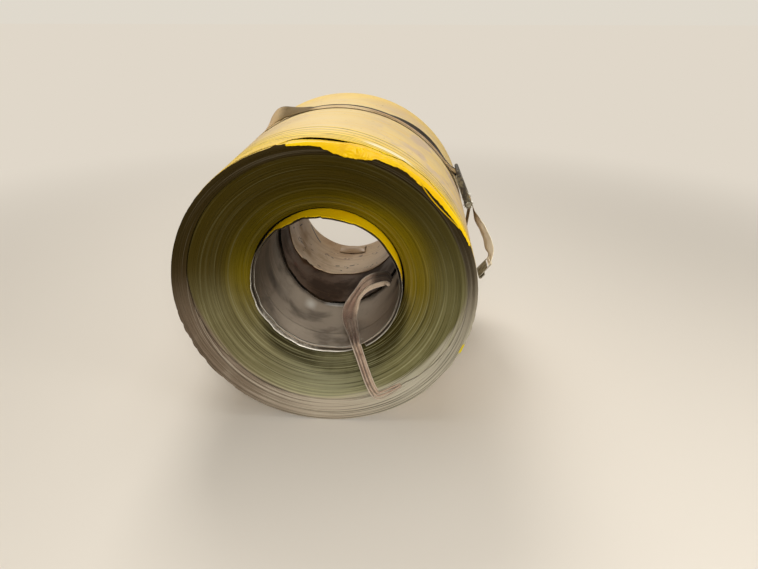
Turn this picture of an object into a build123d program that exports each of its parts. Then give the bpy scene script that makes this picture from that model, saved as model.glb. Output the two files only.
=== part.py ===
from build123d import *

import os
from math import acos, cos, degrees, radians, sin

# Coil of prepainted steel strip lying on its side, held shut by a ratchet strap.
# Millimetres. +Y runs along the bore to the far end, +X to the right, +Z up.
# The origin is on the bore axis, halfway along the outer turns.

# Wound strip
STRIP_WIDTH = 1219.0
OUTER_RADIUS = 635.0
BORE_RADIUS = 305.0

# The inner turns have slid along the bore: a hollow near end and a domed far end
DISH_DEPTH = 140.0
RIM_LAND = 16.0
NEAR_GROUPS = 4
FAR_GROUPS = 2
TURN_STAGGER = 3.0

# Loose inner turns that stand out of the near face, with a gap round them
COLLAR_STEP = 12.0
COLLAR_THICKNESS = 7.0
COLLAR_GAP = 10.0
COLLAR_SLIP = 78.0
COLLAR_LENGTH = 430.0
COLLAR_GAP_DEPTH = 55.0

# Outermost lap, whose near edge is set back from the rim
LAP_THICKNESS = 1.5
LAP_SETBACK = 240.0

# Webbing of both straps
WEBBING_WIDTH = 100.0
WEBBING_THICKNESS = 3.0
SEAT_CLEARANCE = 0.3

# Tie round the coil: its place along the bore, and the waist it presses into the turns
STRAP_PLACE = 175.0
WAIST_MARGIN = 8.0
WAIST_RAMP = 60.0

# Slack fold of the tie on the upper left: angles from the top, with heights off the coil
FOLD_START = -12.0
FOLD_CREST = (-26.0, 50.0)
FOLD_SHOULDER = (-31.5, 30.0)
FOLD_END = -37.0
FOLD_BEND = 30.0

# Ratchet buckle, closed: its place round the coil, then lengths along it and off the coil
RATCHET_ANGLE = 69.0
RATCHET_LIFT = 2.0
SPOOL_ALONG = 72.0
SPOOL_HEIGHT = 22.0
SPOOL_RADIUS = 10.0
SPOOL_SLOT = 4.0
SPOOL_TURNS = 3
BOLT_ALONG = -78.0
BOLT_HEIGHT = 14.0
BOLT_RADIUS = 6.0
NUT_THICKNESS = 5.0
FRAME_PLATE = 4.0
FRAME_CLEARANCE = 3.0
FRAME_EYE = 11.0
FRAME_SHOULDER = 17.0
WHEEL_RADIUS = 25.0
WHEEL_ROOT = 19.5
WHEEL_TEETH = 12
WHEEL_THICKNESS = 5.0
WHEEL_GAP = 12.5
RUNNING_GAP = 0.5
HANDLE_PLATE = 4.0
HANDLE_EYE = 18.0
HANDLE_ROD = 5.0
GRIP_ALONG = -104.0
GRIP_HEIGHT = 24.0
GRIP_RADIUS = 9.0
PAWL_THICKNESS = 3.0
PAWL_DEPTH = 16.0
PAWL_OVERHANG = 8.0
RELEASE_AT = 158.0
LOCK_AT = 188.0
WEB_ALONG = -59.0
WEB_HEIGHT = 32.0
WEB_LENGTH = 50.0

# Free end of the tie and the flat hook on it: lengths round the coil past the ratchet, and heights off it
TAIL_ROUTE = [(186.0, 72.0), (238.0, 107.0), (284.0, 131.5), (324.0, 145.0)]
TAIL_BEND = 40.0
HOOK_END = (366.0, 162.5)
HOOK_SLOPE = 219.0
HOOK_RIM = 7.0
HOOK_LENGTH = 92.0
HOOK_PLATE = 4.0
HOOK_BAR = 9.0
HOOK_SLOT = 12.0
HOOK_BEND = 5.0
HOOK_LIP = 34.0
LOOP_GAP = 0.6

# Webbing left in the bore. Each stop has its angle from the top first, and last the way its width
# points and its width. The end on the face: how far in from the outside, and how far off the face
BORE_STRAP_THICKNESS = 5.0
BORE_STRAP_END = [
    (145.5, 74.0, 8.0, (-0.41, 0.44, 0.91), 40.0),
    (152.4, 78.0, 8.0, (-0.41, 0.44, 0.91), 44.0),
    (158.1, 83.0, 15.0, (0.50, 0.0, 0.87), 44.0),
]
# Over the edge of the loose turns and into them: how far in from their wall, and along from their edge
BORE_STRAP_RUN = [
    (155.3, -2.2, -12.5, (0.91, 0.0, 0.42), 42.0),
    (156.4, 15.5, 13.5, (0.92, 0.0, 0.40), 44.0),
    (159.5, 4.3, 91.5, (0.94, 0.0, 0.35), 60.0),
    (164.5, 6.4, 201.5, (0.96, 0.0, 0.27), 80.0),
    (168.2, 14.6, 296.5, (1.0, 0.04, 0.08), 90.0),
    (163.8, 44.2, 353.5, (0.86, -0.50, 0.00), 90.0),
    (152.6, 82.6, 369.5, (0.64, -0.72, -0.25), 86.0),
    (136.2, 106.2, 371.5, (0.45, -0.72, -0.55), 86.0),
    (116.8, 50.5, 371.5, (0.10, -0.80, -0.60), 86.0),
    (118.7, 9.1, 369.5, (-0.10, -0.93, -0.30), 86.0),
]

os.makedirs("parts", exist_ok=True)


def around(radius, angle):
    """Point in the side view, at an angle clockwise from the top of the coil."""
    return Vector(radius * sin(radians(angle)), radius * cos(radians(angle)))


# Coil: one turned solid
near_rim = -STRIP_WIDTH / 2
far_rim = STRIP_WIDTH / 2
rim_inside = OUTER_RADIUS - RIM_LAND
collar_radius = BORE_RADIUS + COLLAR_STEP
collar_outside = collar_radius + COLLAR_THICKNESS
dish_radius = collar_outside + COLLAR_GAP
collar_near = near_rim + COLLAR_SLIP
collar_far = far_rim + COLLAR_SLIP
gap_floor = near_rim + DISH_DEPTH + COLLAR_GAP_DEPTH
narrowing = collar_near + COLLAR_LENGTH
waist_radius = OUTER_RADIUS - WEBBING_THICKNESS - SEAT_CLEARANCE
waist_half = WEBBING_WIDTH / 2 + WAIST_MARGIN
lap_edge = near_rim + LAP_SETBACK


def slip(radius):
    """How far the turn at this radius has slid towards the far end."""
    return DISH_DEPTH * (rim_inside - radius) / (rim_inside - dish_radius)


def turn_rings(rim, groups):
    """Corners of the stepped end, from the rim in: each group of turns stands a little out or in."""
    corners = []
    for group in range(groups):
        outside = rim_inside - group * (rim_inside - dish_radius) / groups
        inside = rim_inside - (group + 1) * (rim_inside - dish_radius) / groups
        stagger = TURN_STAGGER * sin(2.4 * group)
        corners += [(outside, rim + slip(outside) + stagger), (inside, rim + slip(inside) + stagger)]
    return corners


with BuildPart() as coil:
    with BuildSketch(Plane.XY):
        with BuildLine():
            Polyline(
                (OUTER_RADIUS - LAP_THICKNESS, near_rim),
                *turn_rings(near_rim, NEAR_GROUPS),
                (dish_radius, gap_floor),
                (collar_outside, gap_floor),
                (collar_outside, collar_near),
                (collar_radius, collar_near),
                (collar_radius, narrowing),
                (BORE_RADIUS, narrowing),
                (BORE_RADIUS, collar_far),
                (dish_radius, collar_far),
                *reversed(turn_rings(far_rim, FAR_GROUPS)),
                (OUTER_RADIUS, far_rim),
                (OUTER_RADIUS, STRAP_PLACE + waist_half + WAIST_RAMP),
                (waist_radius, STRAP_PLACE + waist_half),
                (waist_radius, STRAP_PLACE - waist_half),
                (OUTER_RADIUS, STRAP_PLACE - waist_half - WAIST_RAMP),
                (OUTER_RADIUS, lap_edge),
                (OUTER_RADIUS - LAP_THICKNESS, lap_edge),
                close=True,
            )
        make_face()
    revolve(axis=Axis.Y)
coil.part.label = "coil"
export_step(coil.part, "parts/coil.step")

# Planes of the side view and of the ratchet: X along it, Y out from the coil
ratchet_middle = around(OUTER_RADIUS + RATCHET_LIFT, RATCHET_ANGLE)
ratchet_along = around(1, RATCHET_ANGLE + 90)
ratchet_out = around(1, RATCHET_ANGLE)
SIDE = Plane(origin=(0, STRAP_PLACE, 0), x_dir=(1, 0, 0), z_dir=(0, -1, 0))
RATCHET = Plane(
    origin=(ratchet_middle.X, STRAP_PLACE, ratchet_middle.Y),
    x_dir=(ratchet_along.X, 0, ratchet_along.Y),
    z_dir=(0, -1, 0),
)


def on_ratchet(along, height):
    """A place on the ratchet, as a point in the side view."""
    return ratchet_middle + ratchet_along * along + ratchet_out * height


def past_ratchet(along, height):
    """A point in the side view, by its length round the coil past the ratchet and its height off it."""
    return around(OUTER_RADIUS + height, RATCHET_ANGLE + degrees(along / OUTER_RADIUS))


def angle_of(point):
    """Angle of a side view point, clockwise from the top of the coil."""
    return degrees(acos(point.Y / point.length))


# Tie: one length of webbing from the bolt, over the coil, round under it and on to the spool
band_radius = OUTER_RADIUS - WEBBING_THICKNESS / 2
eye_inside = BOLT_RADIUS + SEAT_CLEARANCE
eye_middle = eye_inside + WEBBING_THICKNESS / 2
roll_inside = SPOOL_RADIUS + SEAT_CLEARANCE
roll_outside = roll_inside + SPOOL_TURNS * WEBBING_THICKNESS
roll_middle = roll_outside - WEBBING_THICKNESS / 2
bolt_place = on_ratchet(BOLT_ALONG, BOLT_HEIGHT)
spool_place = on_ratchet(SPOOL_ALONG, SPOOL_HEIGHT)
leaves_at = angle_of(bolt_place) - degrees(acos((band_radius + eye_middle) / bolt_place.length))
returns_at = angle_of(spool_place) + degrees(acos((band_radius - roll_middle) / spool_place.length))
fold_points = [
    around(band_radius, FOLD_START),
    around(OUTER_RADIUS + FOLD_CREST[1], FOLD_CREST[0]),
    around(OUTER_RADIUS + FOLD_SHOULDER[1], FOLD_SHOULDER[0]),
    around(band_radius, FOLD_END),
]
hook_end = past_ratchet(*HOOK_END)
hook_along = around(1, HOOK_SLOPE)
HOOK = Plane(
    origin=(hook_end.X, STRAP_PLACE, hook_end.Y),
    x_dir=(hook_along.X, 0, hook_along.Y),
    z_dir=(0, -1, 0),
)
loop_half = HOOK_PLATE / 2 + LOOP_GAP + WEBBING_THICKNESS
hook_out = around(loop_half - WEBBING_THICKNESS / 2, HOOK_SLOPE + 90)
tail_points = [
    spool_place + around(roll_middle, angle_of(spool_place)),
    *[past_ratchet(*place) for place in TAIL_ROUTE],
    hook_end + hook_along * (HOOK_BAR / 2) + hook_out,
]

with BuildPart() as ratchet_strap:
    with BuildSketch(SIDE):
        with BuildLine():
            Line(bolt_place - around(eye_middle, leaves_at), around(band_radius, leaves_at))
            CenterArc((0, 0), band_radius, 90 - leaves_at, leaves_at - FOLD_START)
            FilletPolyline(*fold_points, radius=FOLD_BEND)
            CenterArc((0, 0), band_radius, 90 - FOLD_END, 360 + FOLD_END - returns_at)
            Line(around(band_radius, returns_at), spool_place + around(roll_middle, returns_at))
        trace(line_width=WEBBING_THICKNESS)
        with BuildLine():
            FilletPolyline(*tail_points, radius=TAIL_BEND)
        trace(line_width=WEBBING_THICKNESS)
        with Locations(bolt_place):
            Circle(eye_inside + WEBBING_THICKNESS)
            Circle(eye_inside, mode=Mode.SUBTRACT)
        with Locations(spool_place):
            Circle(roll_outside)
            Circle(roll_inside, mode=Mode.SUBTRACT)
    extrude(amount=WEBBING_WIDTH / 2, both=True)
    with BuildSketch(HOOK):
        with Locations((HOOK_BAR / 2, 0)):
            SlotOverall(HOOK_BAR + 2 * (LOOP_GAP + WEBBING_THICKNESS), 2 * loop_half)
            Rectangle(HOOK_BAR + 2 * LOOP_GAP, HOOK_PLATE + 2 * LOOP_GAP, mode=Mode.SUBTRACT)
    extrude(amount=WEBBING_WIDTH / 2, both=True)
ratchet_strap.part.label = "ratchet_strap"
export_step(ratchet_strap.part, "parts/ratchet_strap.step")

# Places along and off the ratchet, and the layers of it out from the middle of the webbing
spool_at = (SPOOL_ALONG, SPOOL_HEIGHT)
bolt_at = (BOLT_ALONG, BOLT_HEIGHT)
grip_at = (GRIP_ALONG, GRIP_HEIGHT)
pawl_middle = WHEEL_ROOT + RUNNING_GAP + PAWL_DEPTH / 2
frame_inside = WEBBING_WIDTH / 2 + FRAME_CLEARANCE
frame_outside = frame_inside + FRAME_PLATE
wheel_inside = frame_outside + RUNNING_GAP
wheel_outside = wheel_inside + WHEEL_THICKNESS
handle_inside = wheel_outside + RUNNING_GAP
handle_outside = handle_inside + HANDLE_PLATE

# Ratchet frame: two flanges joined by a base, slotted for one pawl and notched for the other
base_start = BOLT_ALONG + FRAME_EYE
base_end = SPOOL_ALONG - roll_outside - FRAME_PLATE
base_height = BOLT_HEIGHT - FRAME_EYE + FRAME_PLATE / 2

with BuildPart() as ratchet_frame:
    with BuildSketch(RATCHET):
        with Locations(spool_at):
            Circle(FRAME_SHOULDER)
        with Locations(bolt_at):
            Circle(FRAME_EYE)
        make_hull()
        with Locations(spool_at):
            Circle(SPOOL_RADIUS + SEAT_CLEARANCE, mode=Mode.SUBTRACT)
            with PolarLocations(pawl_middle, 1, start_angle=LOCK_AT):
                Rectangle(PAWL_DEPTH + RUNNING_GAP * 2, PAWL_THICKNESS + RUNNING_GAP * 2, mode=Mode.SUBTRACT)
            with PolarLocations(pawl_middle, 1, start_angle=RELEASE_AT):
                Rectangle(PAWL_DEPTH + RUNNING_GAP * 2, PAWL_THICKNESS + RUNNING_GAP * 2, mode=Mode.SUBTRACT)
        with Locations(bolt_at):
            Circle(BOLT_RADIUS + SEAT_CLEARANCE, mode=Mode.SUBTRACT)
    extrude(amount=frame_outside, both=True)
    with BuildSketch(RATCHET):
        Rectangle(2 * OUTER_RADIUS, 2 * OUTER_RADIUS)
        with Locations(((base_start + base_end) / 2, base_height)):
            Rectangle(base_end - base_start, FRAME_PLATE, mode=Mode.SUBTRACT)
    extrude(amount=frame_inside, both=True, mode=Mode.SUBTRACT)
ratchet_frame.part.label = "ratchet_frame"
export_step(ratchet_frame.part, "parts/ratchet_frame.step")

# Bolt at the fixed end, with a hexagon head and a nut outside the flanges
with BuildPart() as frame_bolt:
    with BuildSketch(RATCHET):
        with Locations(bolt_at):
            Circle(BOLT_RADIUS)
    extrude(amount=frame_outside + SEAT_CLEARANCE + NUT_THICKNESS, both=True)
    for side in (1, -1):
        with BuildSketch(RATCHET.offset(side * (frame_outside + SEAT_CLEARANCE))):
            with Locations(bolt_at):
                RegularPolygon(1.7 * BOLT_RADIUS, 6)
        extrude(amount=side * NUT_THICKNESS)
frame_bolt.part.label = "frame_bolt"
export_step(frame_bolt.part, "parts/frame_bolt.step")

# Spool: a round shaft slotted for the webbing, with a head outside each arm of the handle
with BuildPart() as ratchet_spool:
    with BuildSketch(RATCHET):
        with Locations(spool_at):
            Circle(SPOOL_RADIUS)
    extrude(amount=handle_outside + RUNNING_GAP, both=True)
    with BuildSketch(RATCHET):
        with Locations(spool_at):
            Rectangle(SPOOL_RADIUS * 3, SPOOL_SLOT)
    extrude(amount=frame_inside, both=True, mode=Mode.SUBTRACT)
    for side in (1, -1):
        with BuildSketch(RATCHET.offset(side * (handle_outside + RUNNING_GAP))):
            with Locations(spool_at):
                Circle(SPOOL_RADIUS + HANDLE_PLATE)
        extrude(amount=side * HANDLE_PLATE)
ratchet_spool.part.label = "ratchet_spool"
export_step(ratchet_spool.part, "parts/ratchet_spool.step")

# Ratchet wheels: a pair with square gaps for the pawls, one outside each flange
tooth_pitch = 360 / WHEEL_TEETH
gap_half = WHEEL_GAP / 2
outline = []
for tooth in range(WHEEL_TEETH):
    gap = RELEASE_AT + tooth * tooth_pitch
    for radius, turn in (
        (WHEEL_ROOT, -gap_half),
        (WHEEL_ROOT, gap_half),
        (WHEEL_RADIUS, gap_half + tooth_pitch / 5),
        (WHEEL_RADIUS, tooth_pitch - gap_half - tooth_pitch / 5),
    ):
        outline.append((radius * cos(radians(gap + turn)), radius * sin(radians(gap + turn))))

with BuildPart() as ratchet_wheels:
    for side in (1, -1):
        with BuildSketch(RATCHET.offset(side * wheel_inside)):
            with Locations(spool_at):
                Polygon(*outline, align=None)
                Circle(SPOOL_RADIUS + SEAT_CLEARANCE, mode=Mode.SUBTRACT)
        extrude(amount=side * WHEEL_THICKNESS)
ratchet_wheels.part.label = "ratchet_wheels"
export_step(ratchet_wheels.part, "parts/ratchet_wheels.step")

# Handle: two arms on the spool, joined by a web and by the rod of the grip
with BuildPart() as ratchet_handle:
    with BuildSketch(RATCHET):
        with Locations(spool_at):
            Circle(HANDLE_EYE)
        with Locations(grip_at):
            Circle(GRIP_RADIUS)
        make_hull()
        with Locations(spool_at):
            Circle(SPOOL_RADIUS + SEAT_CLEARANCE, mode=Mode.SUBTRACT)
            with PolarLocations(pawl_middle, 1, start_angle=RELEASE_AT):
                Rectangle(PAWL_DEPTH + RUNNING_GAP * 2, PAWL_THICKNESS + RUNNING_GAP * 2, mode=Mode.SUBTRACT)
    extrude(amount=handle_outside, both=True)
    with BuildSketch(RATCHET):
        Rectangle(2 * OUTER_RADIUS, 2 * OUTER_RADIUS)
        with Locations((WEB_ALONG, WEB_HEIGHT)):
            Rectangle(WEB_LENGTH, HANDLE_PLATE, mode=Mode.SUBTRACT)
        with Locations(grip_at):
            Circle(HANDLE_ROD, mode=Mode.SUBTRACT)
    extrude(amount=handle_inside, both=True, mode=Mode.SUBTRACT)
ratchet_handle.part.label = "ratchet_handle"
export_step(ratchet_handle.part, "parts/ratchet_handle.step")

# Grip: a sleeve on the rod between the arms
with BuildPart() as handle_grip:
    with BuildSketch(RATCHET):
        with Locations(grip_at):
            Circle(GRIP_RADIUS)
            Circle(HANDLE_ROD + SEAT_CLEARANCE, mode=Mode.SUBTRACT)
    extrude(amount=handle_inside - RUNNING_GAP, both=True)
handle_grip.part.label = "handle_grip"
export_step(handle_grip.part, "parts/handle_grip.step")

# Pawls: the handle's reaches out past both arms, the frame's ends with the wheels
with BuildPart() as release_pawl:
    with BuildSketch(RATCHET):
        with Locations(spool_at):
            with PolarLocations(pawl_middle, 1, start_angle=RELEASE_AT):
                Rectangle(PAWL_DEPTH, PAWL_THICKNESS)
    extrude(amount=handle_outside + PAWL_OVERHANG, both=True)
release_pawl.part.label = "release_pawl"
export_step(release_pawl.part, "parts/release_pawl.step")

with BuildPart() as frame_pawl:
    with BuildSketch(RATCHET):
        with Locations(spool_at):
            with PolarLocations(pawl_middle, 1, start_angle=LOCK_AT):
                Rectangle(PAWL_DEPTH, PAWL_THICKNESS)
    extrude(amount=wheel_outside, both=True)
frame_pawl.part.label = "frame_pawl"
export_step(frame_pawl.part, "parts/frame_pawl.step")

# Flat hook: a plate bent round at one end and slotted for the webbing at the other
bend_depth = 2 * HOOK_BEND + HOOK_PLATE
with BuildPart() as flat_hook:
    with BuildSketch(HOOK):
        with BuildLine():
            FilletPolyline(
                (0, 0),
                (HOOK_LENGTH, 0),
                (HOOK_LENGTH, bend_depth),
                (HOOK_LENGTH - HOOK_LIP, bend_depth),
                radius=HOOK_BEND + HOOK_PLATE / 2 - RUNNING_GAP,
            )
        trace(line_width=HOOK_PLATE)
    extrude(amount=WEBBING_WIDTH / 2 + HOOK_RIM, both=True)
    with BuildSketch(HOOK):
        with Locations((HOOK_BAR + HOOK_SLOT / 2, 0)):
            Rectangle(HOOK_SLOT, 2 * HOOK_PLATE)
    extrude(amount=WEBBING_WIDTH / 2 + RUNNING_GAP, both=True, mode=Mode.SUBTRACT)
flat_hook.part.label = "flat_hook"
export_step(flat_hook.part, "parts/flat_hook.step")

# Webbing in the bore: flat sections along its route, joined by straight walls
stops = []
for angle, inset, standoff, facing, width in BORE_STRAP_END:
    flat = around(OUTER_RADIUS - inset, angle)
    stops.append((Vector(flat.X, near_rim + slip(flat.length) - standoff, flat.Y), Vector(*facing), width))
for angle, inset, along, facing, width in BORE_STRAP_RUN:
    flat = around(collar_radius - inset, angle)
    stops.append((Vector(flat.X, collar_near + along, flat.Y), Vector(*facing), width))

with BuildPart() as bore_strap:
    for number, (place, facing, width) in enumerate(stops):
        before = stops[max(number - 1, 0)][0]
        after = stops[min(number + 1, len(stops) - 1)][0]
        run = (after - before).normalized()
        across = (facing - run * facing.dot(run)).normalized()
        with BuildSketch(Plane(origin=place, x_dir=across, z_dir=run)):
            Rectangle(width, BORE_STRAP_THICKNESS)
    loft(ruled=True)
bore_strap.part.label = "bore_strap"
export_step(bore_strap.part, "parts/bore_strap.step")
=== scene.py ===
# %% [markdown]
# A coil of prepainted steel strip lies on its side. Its inner turns have slid along the bore,
# so the near end is a shallow dish, and a few loose turns stand out of it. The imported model
# gives every piece its place. This lesson dresses those pieces: it builds the thin sheets and
# the webbing that the solid model keeps plain, and gives each surface a finish made of nodes.

import random
from math import acos, atan2, cos, degrees, exp, hypot, pi, radians, sin

import bmesh
import bpy
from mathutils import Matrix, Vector, noise


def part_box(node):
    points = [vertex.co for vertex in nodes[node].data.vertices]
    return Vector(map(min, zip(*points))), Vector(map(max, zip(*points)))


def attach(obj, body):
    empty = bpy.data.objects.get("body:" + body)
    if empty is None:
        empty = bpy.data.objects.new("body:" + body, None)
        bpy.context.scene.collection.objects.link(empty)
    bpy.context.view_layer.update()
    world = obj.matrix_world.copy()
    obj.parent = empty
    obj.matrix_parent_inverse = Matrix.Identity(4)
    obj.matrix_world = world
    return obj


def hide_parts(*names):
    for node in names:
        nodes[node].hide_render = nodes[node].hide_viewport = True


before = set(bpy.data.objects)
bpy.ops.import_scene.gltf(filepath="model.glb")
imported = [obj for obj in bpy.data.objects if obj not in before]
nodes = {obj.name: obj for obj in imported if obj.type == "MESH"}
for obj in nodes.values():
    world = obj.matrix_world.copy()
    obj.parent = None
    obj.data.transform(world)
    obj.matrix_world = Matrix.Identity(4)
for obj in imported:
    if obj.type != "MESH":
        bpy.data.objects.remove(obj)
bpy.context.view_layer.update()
print("nodes:", ", ".join(sorted(nodes)))

# %% [markdown]
# The view is from eye height in front of the coil, looking down. A short lens close to the
# object makes the near end large and the far end small, so the camera needs the real distance
# as well as the real angle. The sensor is 36 mm wide.

# %% Camera
SENSOR_WIDTH = 36.0
LENS = 28.5
CAMERA_PLACE = (0.3493, -2.8034, 1.1182)
CAMERA_TILT = 64.24
CAMERA_PAN = 3.10

camera_data = bpy.data.cameras.new("camera")
camera_data.sensor_width = SENSOR_WIDTH
camera_data.lens = LENS
camera_data.clip_start = 0.05
camera = bpy.data.objects.new("camera", camera_data)
camera.location = CAMERA_PLACE
camera.rotation_euler = (radians(CAMERA_TILT), 0, radians(CAMERA_PAN))
bpy.context.scene.collection.objects.link(camera)
bpy.context.scene.camera = camera
bpy.context.scene.view_settings.view_transform = "Standard"
print("lens", LENS, "mm at", CAMERA_PLACE)

# %% [markdown]
# Nodes are easier to read when each one is made by one line. This helper makes a node,
# sets its options, and fills its inputs: a value is written on the socket, and a socket
# is linked to it.


# %% A helper for nodes
def add(tree, kind, wires=None, **options):
    """Adds a node. wires maps input names or numbers to values or to other nodes' sockets."""
    made = tree.nodes.new("ShaderNode" + kind)
    for option, value in options.items():
        setattr(made, option, value)
    for place, value in (wires or {}).items():
        if isinstance(value, bpy.types.NodeSocket):
            tree.links.new(value, made.inputs[place])
        else:
            made.inputs[place].default_value = value
    return made


def tint(red, green, blue):
    """A colour as read off a screen, from 0 to 255, as the linear colour that nodes use."""
    parts = [value / 255 for value in (red, green, blue)]
    linear = [p / 12.92 if p <= 0.04045 else ((p + 0.055) / 1.055) ** 2.4 for p in parts]
    return (*linear, 1.0)


print("tan dust is", [round(part, 3) for part in tint(225, 195, 120)])

# %% [markdown]
# A finish is mostly arithmetic on masks, which are values from 0 to 1 over the surface. Each
# helper here is one such step, named for what it does: masks are multiplied where all of them
# have to hold, a band is 1 near one value, and a layer puts a colour on top of another.


# %% Helpers for masks and colours
def sums(tree, kind, *values):
    """One step of arithmetic: kind is ADD, MULTIPLY and so on."""
    return add(tree, "Math", dict(enumerate(values)), operation=kind).outputs[0]


def product(tree, first, *factors):
    """The first value times each factor in turn."""
    for factor in factors:
        first = sums(tree, "MULTIPLY", first, factor)
    return first


def ramp(tree, value, slope, start):
    """A start, plus a value times a slope."""
    return sums(tree, "ADD", product(tree, value, slope), start)


def swing(tree, level, width):
    """Noise from 0 to 1 as a shift either way, width wide in all."""
    return product(tree, sums(tree, "SUBTRACT", level, 0.5), width)


def between(tree, value, low, high):
    """0 where the value is under low, 1 where it is over high, and smooth from one to the other."""
    wires = {0: value, 1: low, 2: high, 3: 0.0, 4: 1.0}
    return add(tree, "MapRange", wires, interpolation_type="SMOOTHSTEP").outputs[0]


def band(tree, value, middle, far, close):
    """1 where the value is within close of the middle, and 0 where it is further off than far."""
    off = sums(tree, "ABSOLUTE", sums(tree, "SUBTRACT", value, middle))
    return between(tree, off, far, close)


def blend(tree, share, first, second):
    """Mixes two colours by a share from 0 to 1, and gives the mixed colour's socket."""
    return add(tree, "Mix", {0: share, 6: first, 7: second}, data_type="RGBA").outputs[2]


def layer(tree, color, mask, strength, on_top):
    """Lays a colour on another where the mask is, at a strength from 0 to 1."""
    return blend(tree, product(tree, mask, strength), color, on_top)


def grain(tree, place, scale, detail=4.0, rough=0.6):
    """Plain noise on a position, from 0 to 1."""
    wires = {"Vector": place, "Scale": scale, "Detail": detail, "Roughness": rough}
    return add(tree, "TexNoise", wires).outputs["Fac"]


print("a full turn is", round(2 * pi, 4), "for the sine and arctangent nodes")

# %% [markdown]
# Dust, stains and scratches are on nearly every surface here, so each is a node group that
# is built once. A group takes a position and a few numbers, and puts out a mask from 0 to 1.
# Each material then uses the mask with its own colours and sizes.


# %% A helper that opens a group
def open_group(name, numbers, results):
    """Makes a shader group with a Vector input, named number inputs and float outputs."""
    group = bpy.data.node_groups.new(name, "ShaderNodeTree")
    group.interface.new_socket("Vector", in_out="INPUT", socket_type="NodeSocketVector")
    for label, start in numbers.items():
        socket = group.interface.new_socket(label, in_out="INPUT", socket_type="NodeSocketFloat")
        socket.default_value = start
    for label in results:
        group.interface.new_socket(label, in_out="OUTPUT", socket_type="NodeSocketFloat")
    inside = group.nodes.new("NodeGroupInput").outputs
    outside = group.nodes.new("NodeGroupOutput").inputs
    print("group", name, "takes", ", ".join(numbers), "and gives", ", ".join(results))
    return group, inside, outside


# %% Patches: soft stains with ragged edges
patch_numbers = {"Scale": 4.0, "Low": 0.45, "High": 0.6, "Detail": 6.0}
patches, given, result = open_group("patches", patch_numbers, ["Mask"])
cloud_wires = {label: given[label] for label in ("Vector", "Scale", "Detail")}
cloud = add(patches, "TexNoise", {**cloud_wires, "Roughness": 0.62, "Distortion": 0.3})
patches.links.new(between(patches, cloud.outputs["Fac"], given["Low"], given["High"]), result["Mask"])

# %% Scratches: thin bright lines along one direction
scratches, given, result = open_group("scratches", {"Along": 3.0, "Across": 160.0, "Amount": 0.35}, ["Mask"])
apart = add(scratches, "SeparateXYZ", {0: given["Vector"]}).outputs
stretched = add(scratches, "CombineXYZ", {
    0: product(scratches, apart[0], given["Along"]),
    1: product(scratches, apart[1], given["Across"]),
    2: product(scratches, apart[2], given["Across"]),
})
lines = grain(scratches, stretched.outputs[0], 1.0, 3.0, 0.7)
level = sums(scratches, "SUBTRACT", 0.72, product(scratches, given["Amount"], 0.25))
step = add(scratches, "MapRange", {0: lines, 1: level, 2: 0.78, 3: 0.0, 4: 1.0})
scratches.links.new(step.outputs[0], result["Mask"])

# %% Weave: the ribs of wide polyester webbing, on a UV map in metres
weave, given, result = open_group("weave", {"Rib": 0.0022, "Pick": 0.0016}, ["Height", "Shade"])
apart = add(weave, "SeparateXYZ", {0: given["Vector"]}).outputs
turns_across = sums(weave, "DIVIDE", apart[1], given["Rib"])
turns_along = sums(weave, "DIVIDE", apart[0], given["Pick"])
rib_wave = sums(weave, "SINE", product(weave, turns_across, 2 * pi))
half_step = product(weave, sums(weave, "FLOOR", turns_across), pi)
pick_wave = sums(weave, "SINE", sums(weave, "ADD", product(weave, turns_along, 2 * pi), half_step))
height = sums(weave, "ADD", product(weave, rib_wave, 0.25), product(weave, pick_wave, 0.25))
weave.links.new(sums(weave, "ADD", height, 0.5), result["Height"])
weave.links.new(grain(weave, given["Vector"], 90.0, 4.0, 0.7), result["Shade"])
print("groups:", ", ".join(sorted(group.name for group in bpy.data.node_groups)))

# %% [markdown]
# A material starts with its Principled shader. Its even values, such as the sheen of cloth,
# are written on the shader's own sockets. The position comes from Object coordinates, which
# are metres in the model's frame, because every mesh keeps its place in its own points.


# %% Helpers that open and close a material
def open_material(name, metallic=0.0, roughness=0.5, **even):
    """Makes a material, and gives it with its node tree, its shader and the object position."""
    made = bpy.data.materials.new(name)
    made.use_nodes = True
    tree = made.node_tree
    shader = tree.nodes["Principled BSDF"]
    shader.inputs["Metallic"].default_value = metallic
    shader.inputs["Roughness"].default_value = roughness
    for socket, value in even.items():
        shader.inputs[socket.replace("_", " ")].default_value = value
    place = add(tree, "TexCoord").outputs["Object"]
    return made, tree, shader, place


def finish_surface(tree, shader, color, rough=None, height=None, depth=0.001, metal=None):
    """Links a surface's colour, roughness and height to its shader."""
    tree.links.new(color, shader.inputs["Base Color"])
    if rough is not None:
        tree.links.new(rough, shader.inputs["Roughness"])
    if metal is not None:
        tree.links.new(metal, shader.inputs["Metallic"])
    if height is not None:
        bump = add(tree, "Bump", {"Height": height, "Distance": depth, "Strength": 1.0})
        tree.links.new(bump.outputs[0], shader.inputs["Normal"])
    print("finish of", len(tree.nodes), "nodes")


def use(tree, group, place, **numbers):
    """Places a shared group in a material, and gives its outputs."""
    made = tree.nodes.new("ShaderNodeGroup")
    made.node_tree = group
    tree.links.new(place, made.inputs["Vector"])
    for label, value in numbers.items():
        made.inputs[label].default_value = value
    return made.outputs


print("materials so far:", len(bpy.data.materials))

# %% [markdown]
# The finishes of a coil follow its turns, so they read the place along the bore's axis, the
# distance from it and the angle round it. A pattern that runs one way is plain noise on a
# position that is squeezed across that way, so that it changes fast there and slowly along.


# %% Helpers for places on the coil
def axes(tree, place):
    """The x, y and z of a position."""
    return add(tree, "SeparateXYZ", {0: place}).outputs[:3]


def distance(tree, first, second):
    """How far a point is from an axis, from its two places beside it."""
    return sums(tree, "SQRT", sums(tree, "ADD", product(tree, first, first), product(tree, second, second)))


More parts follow.
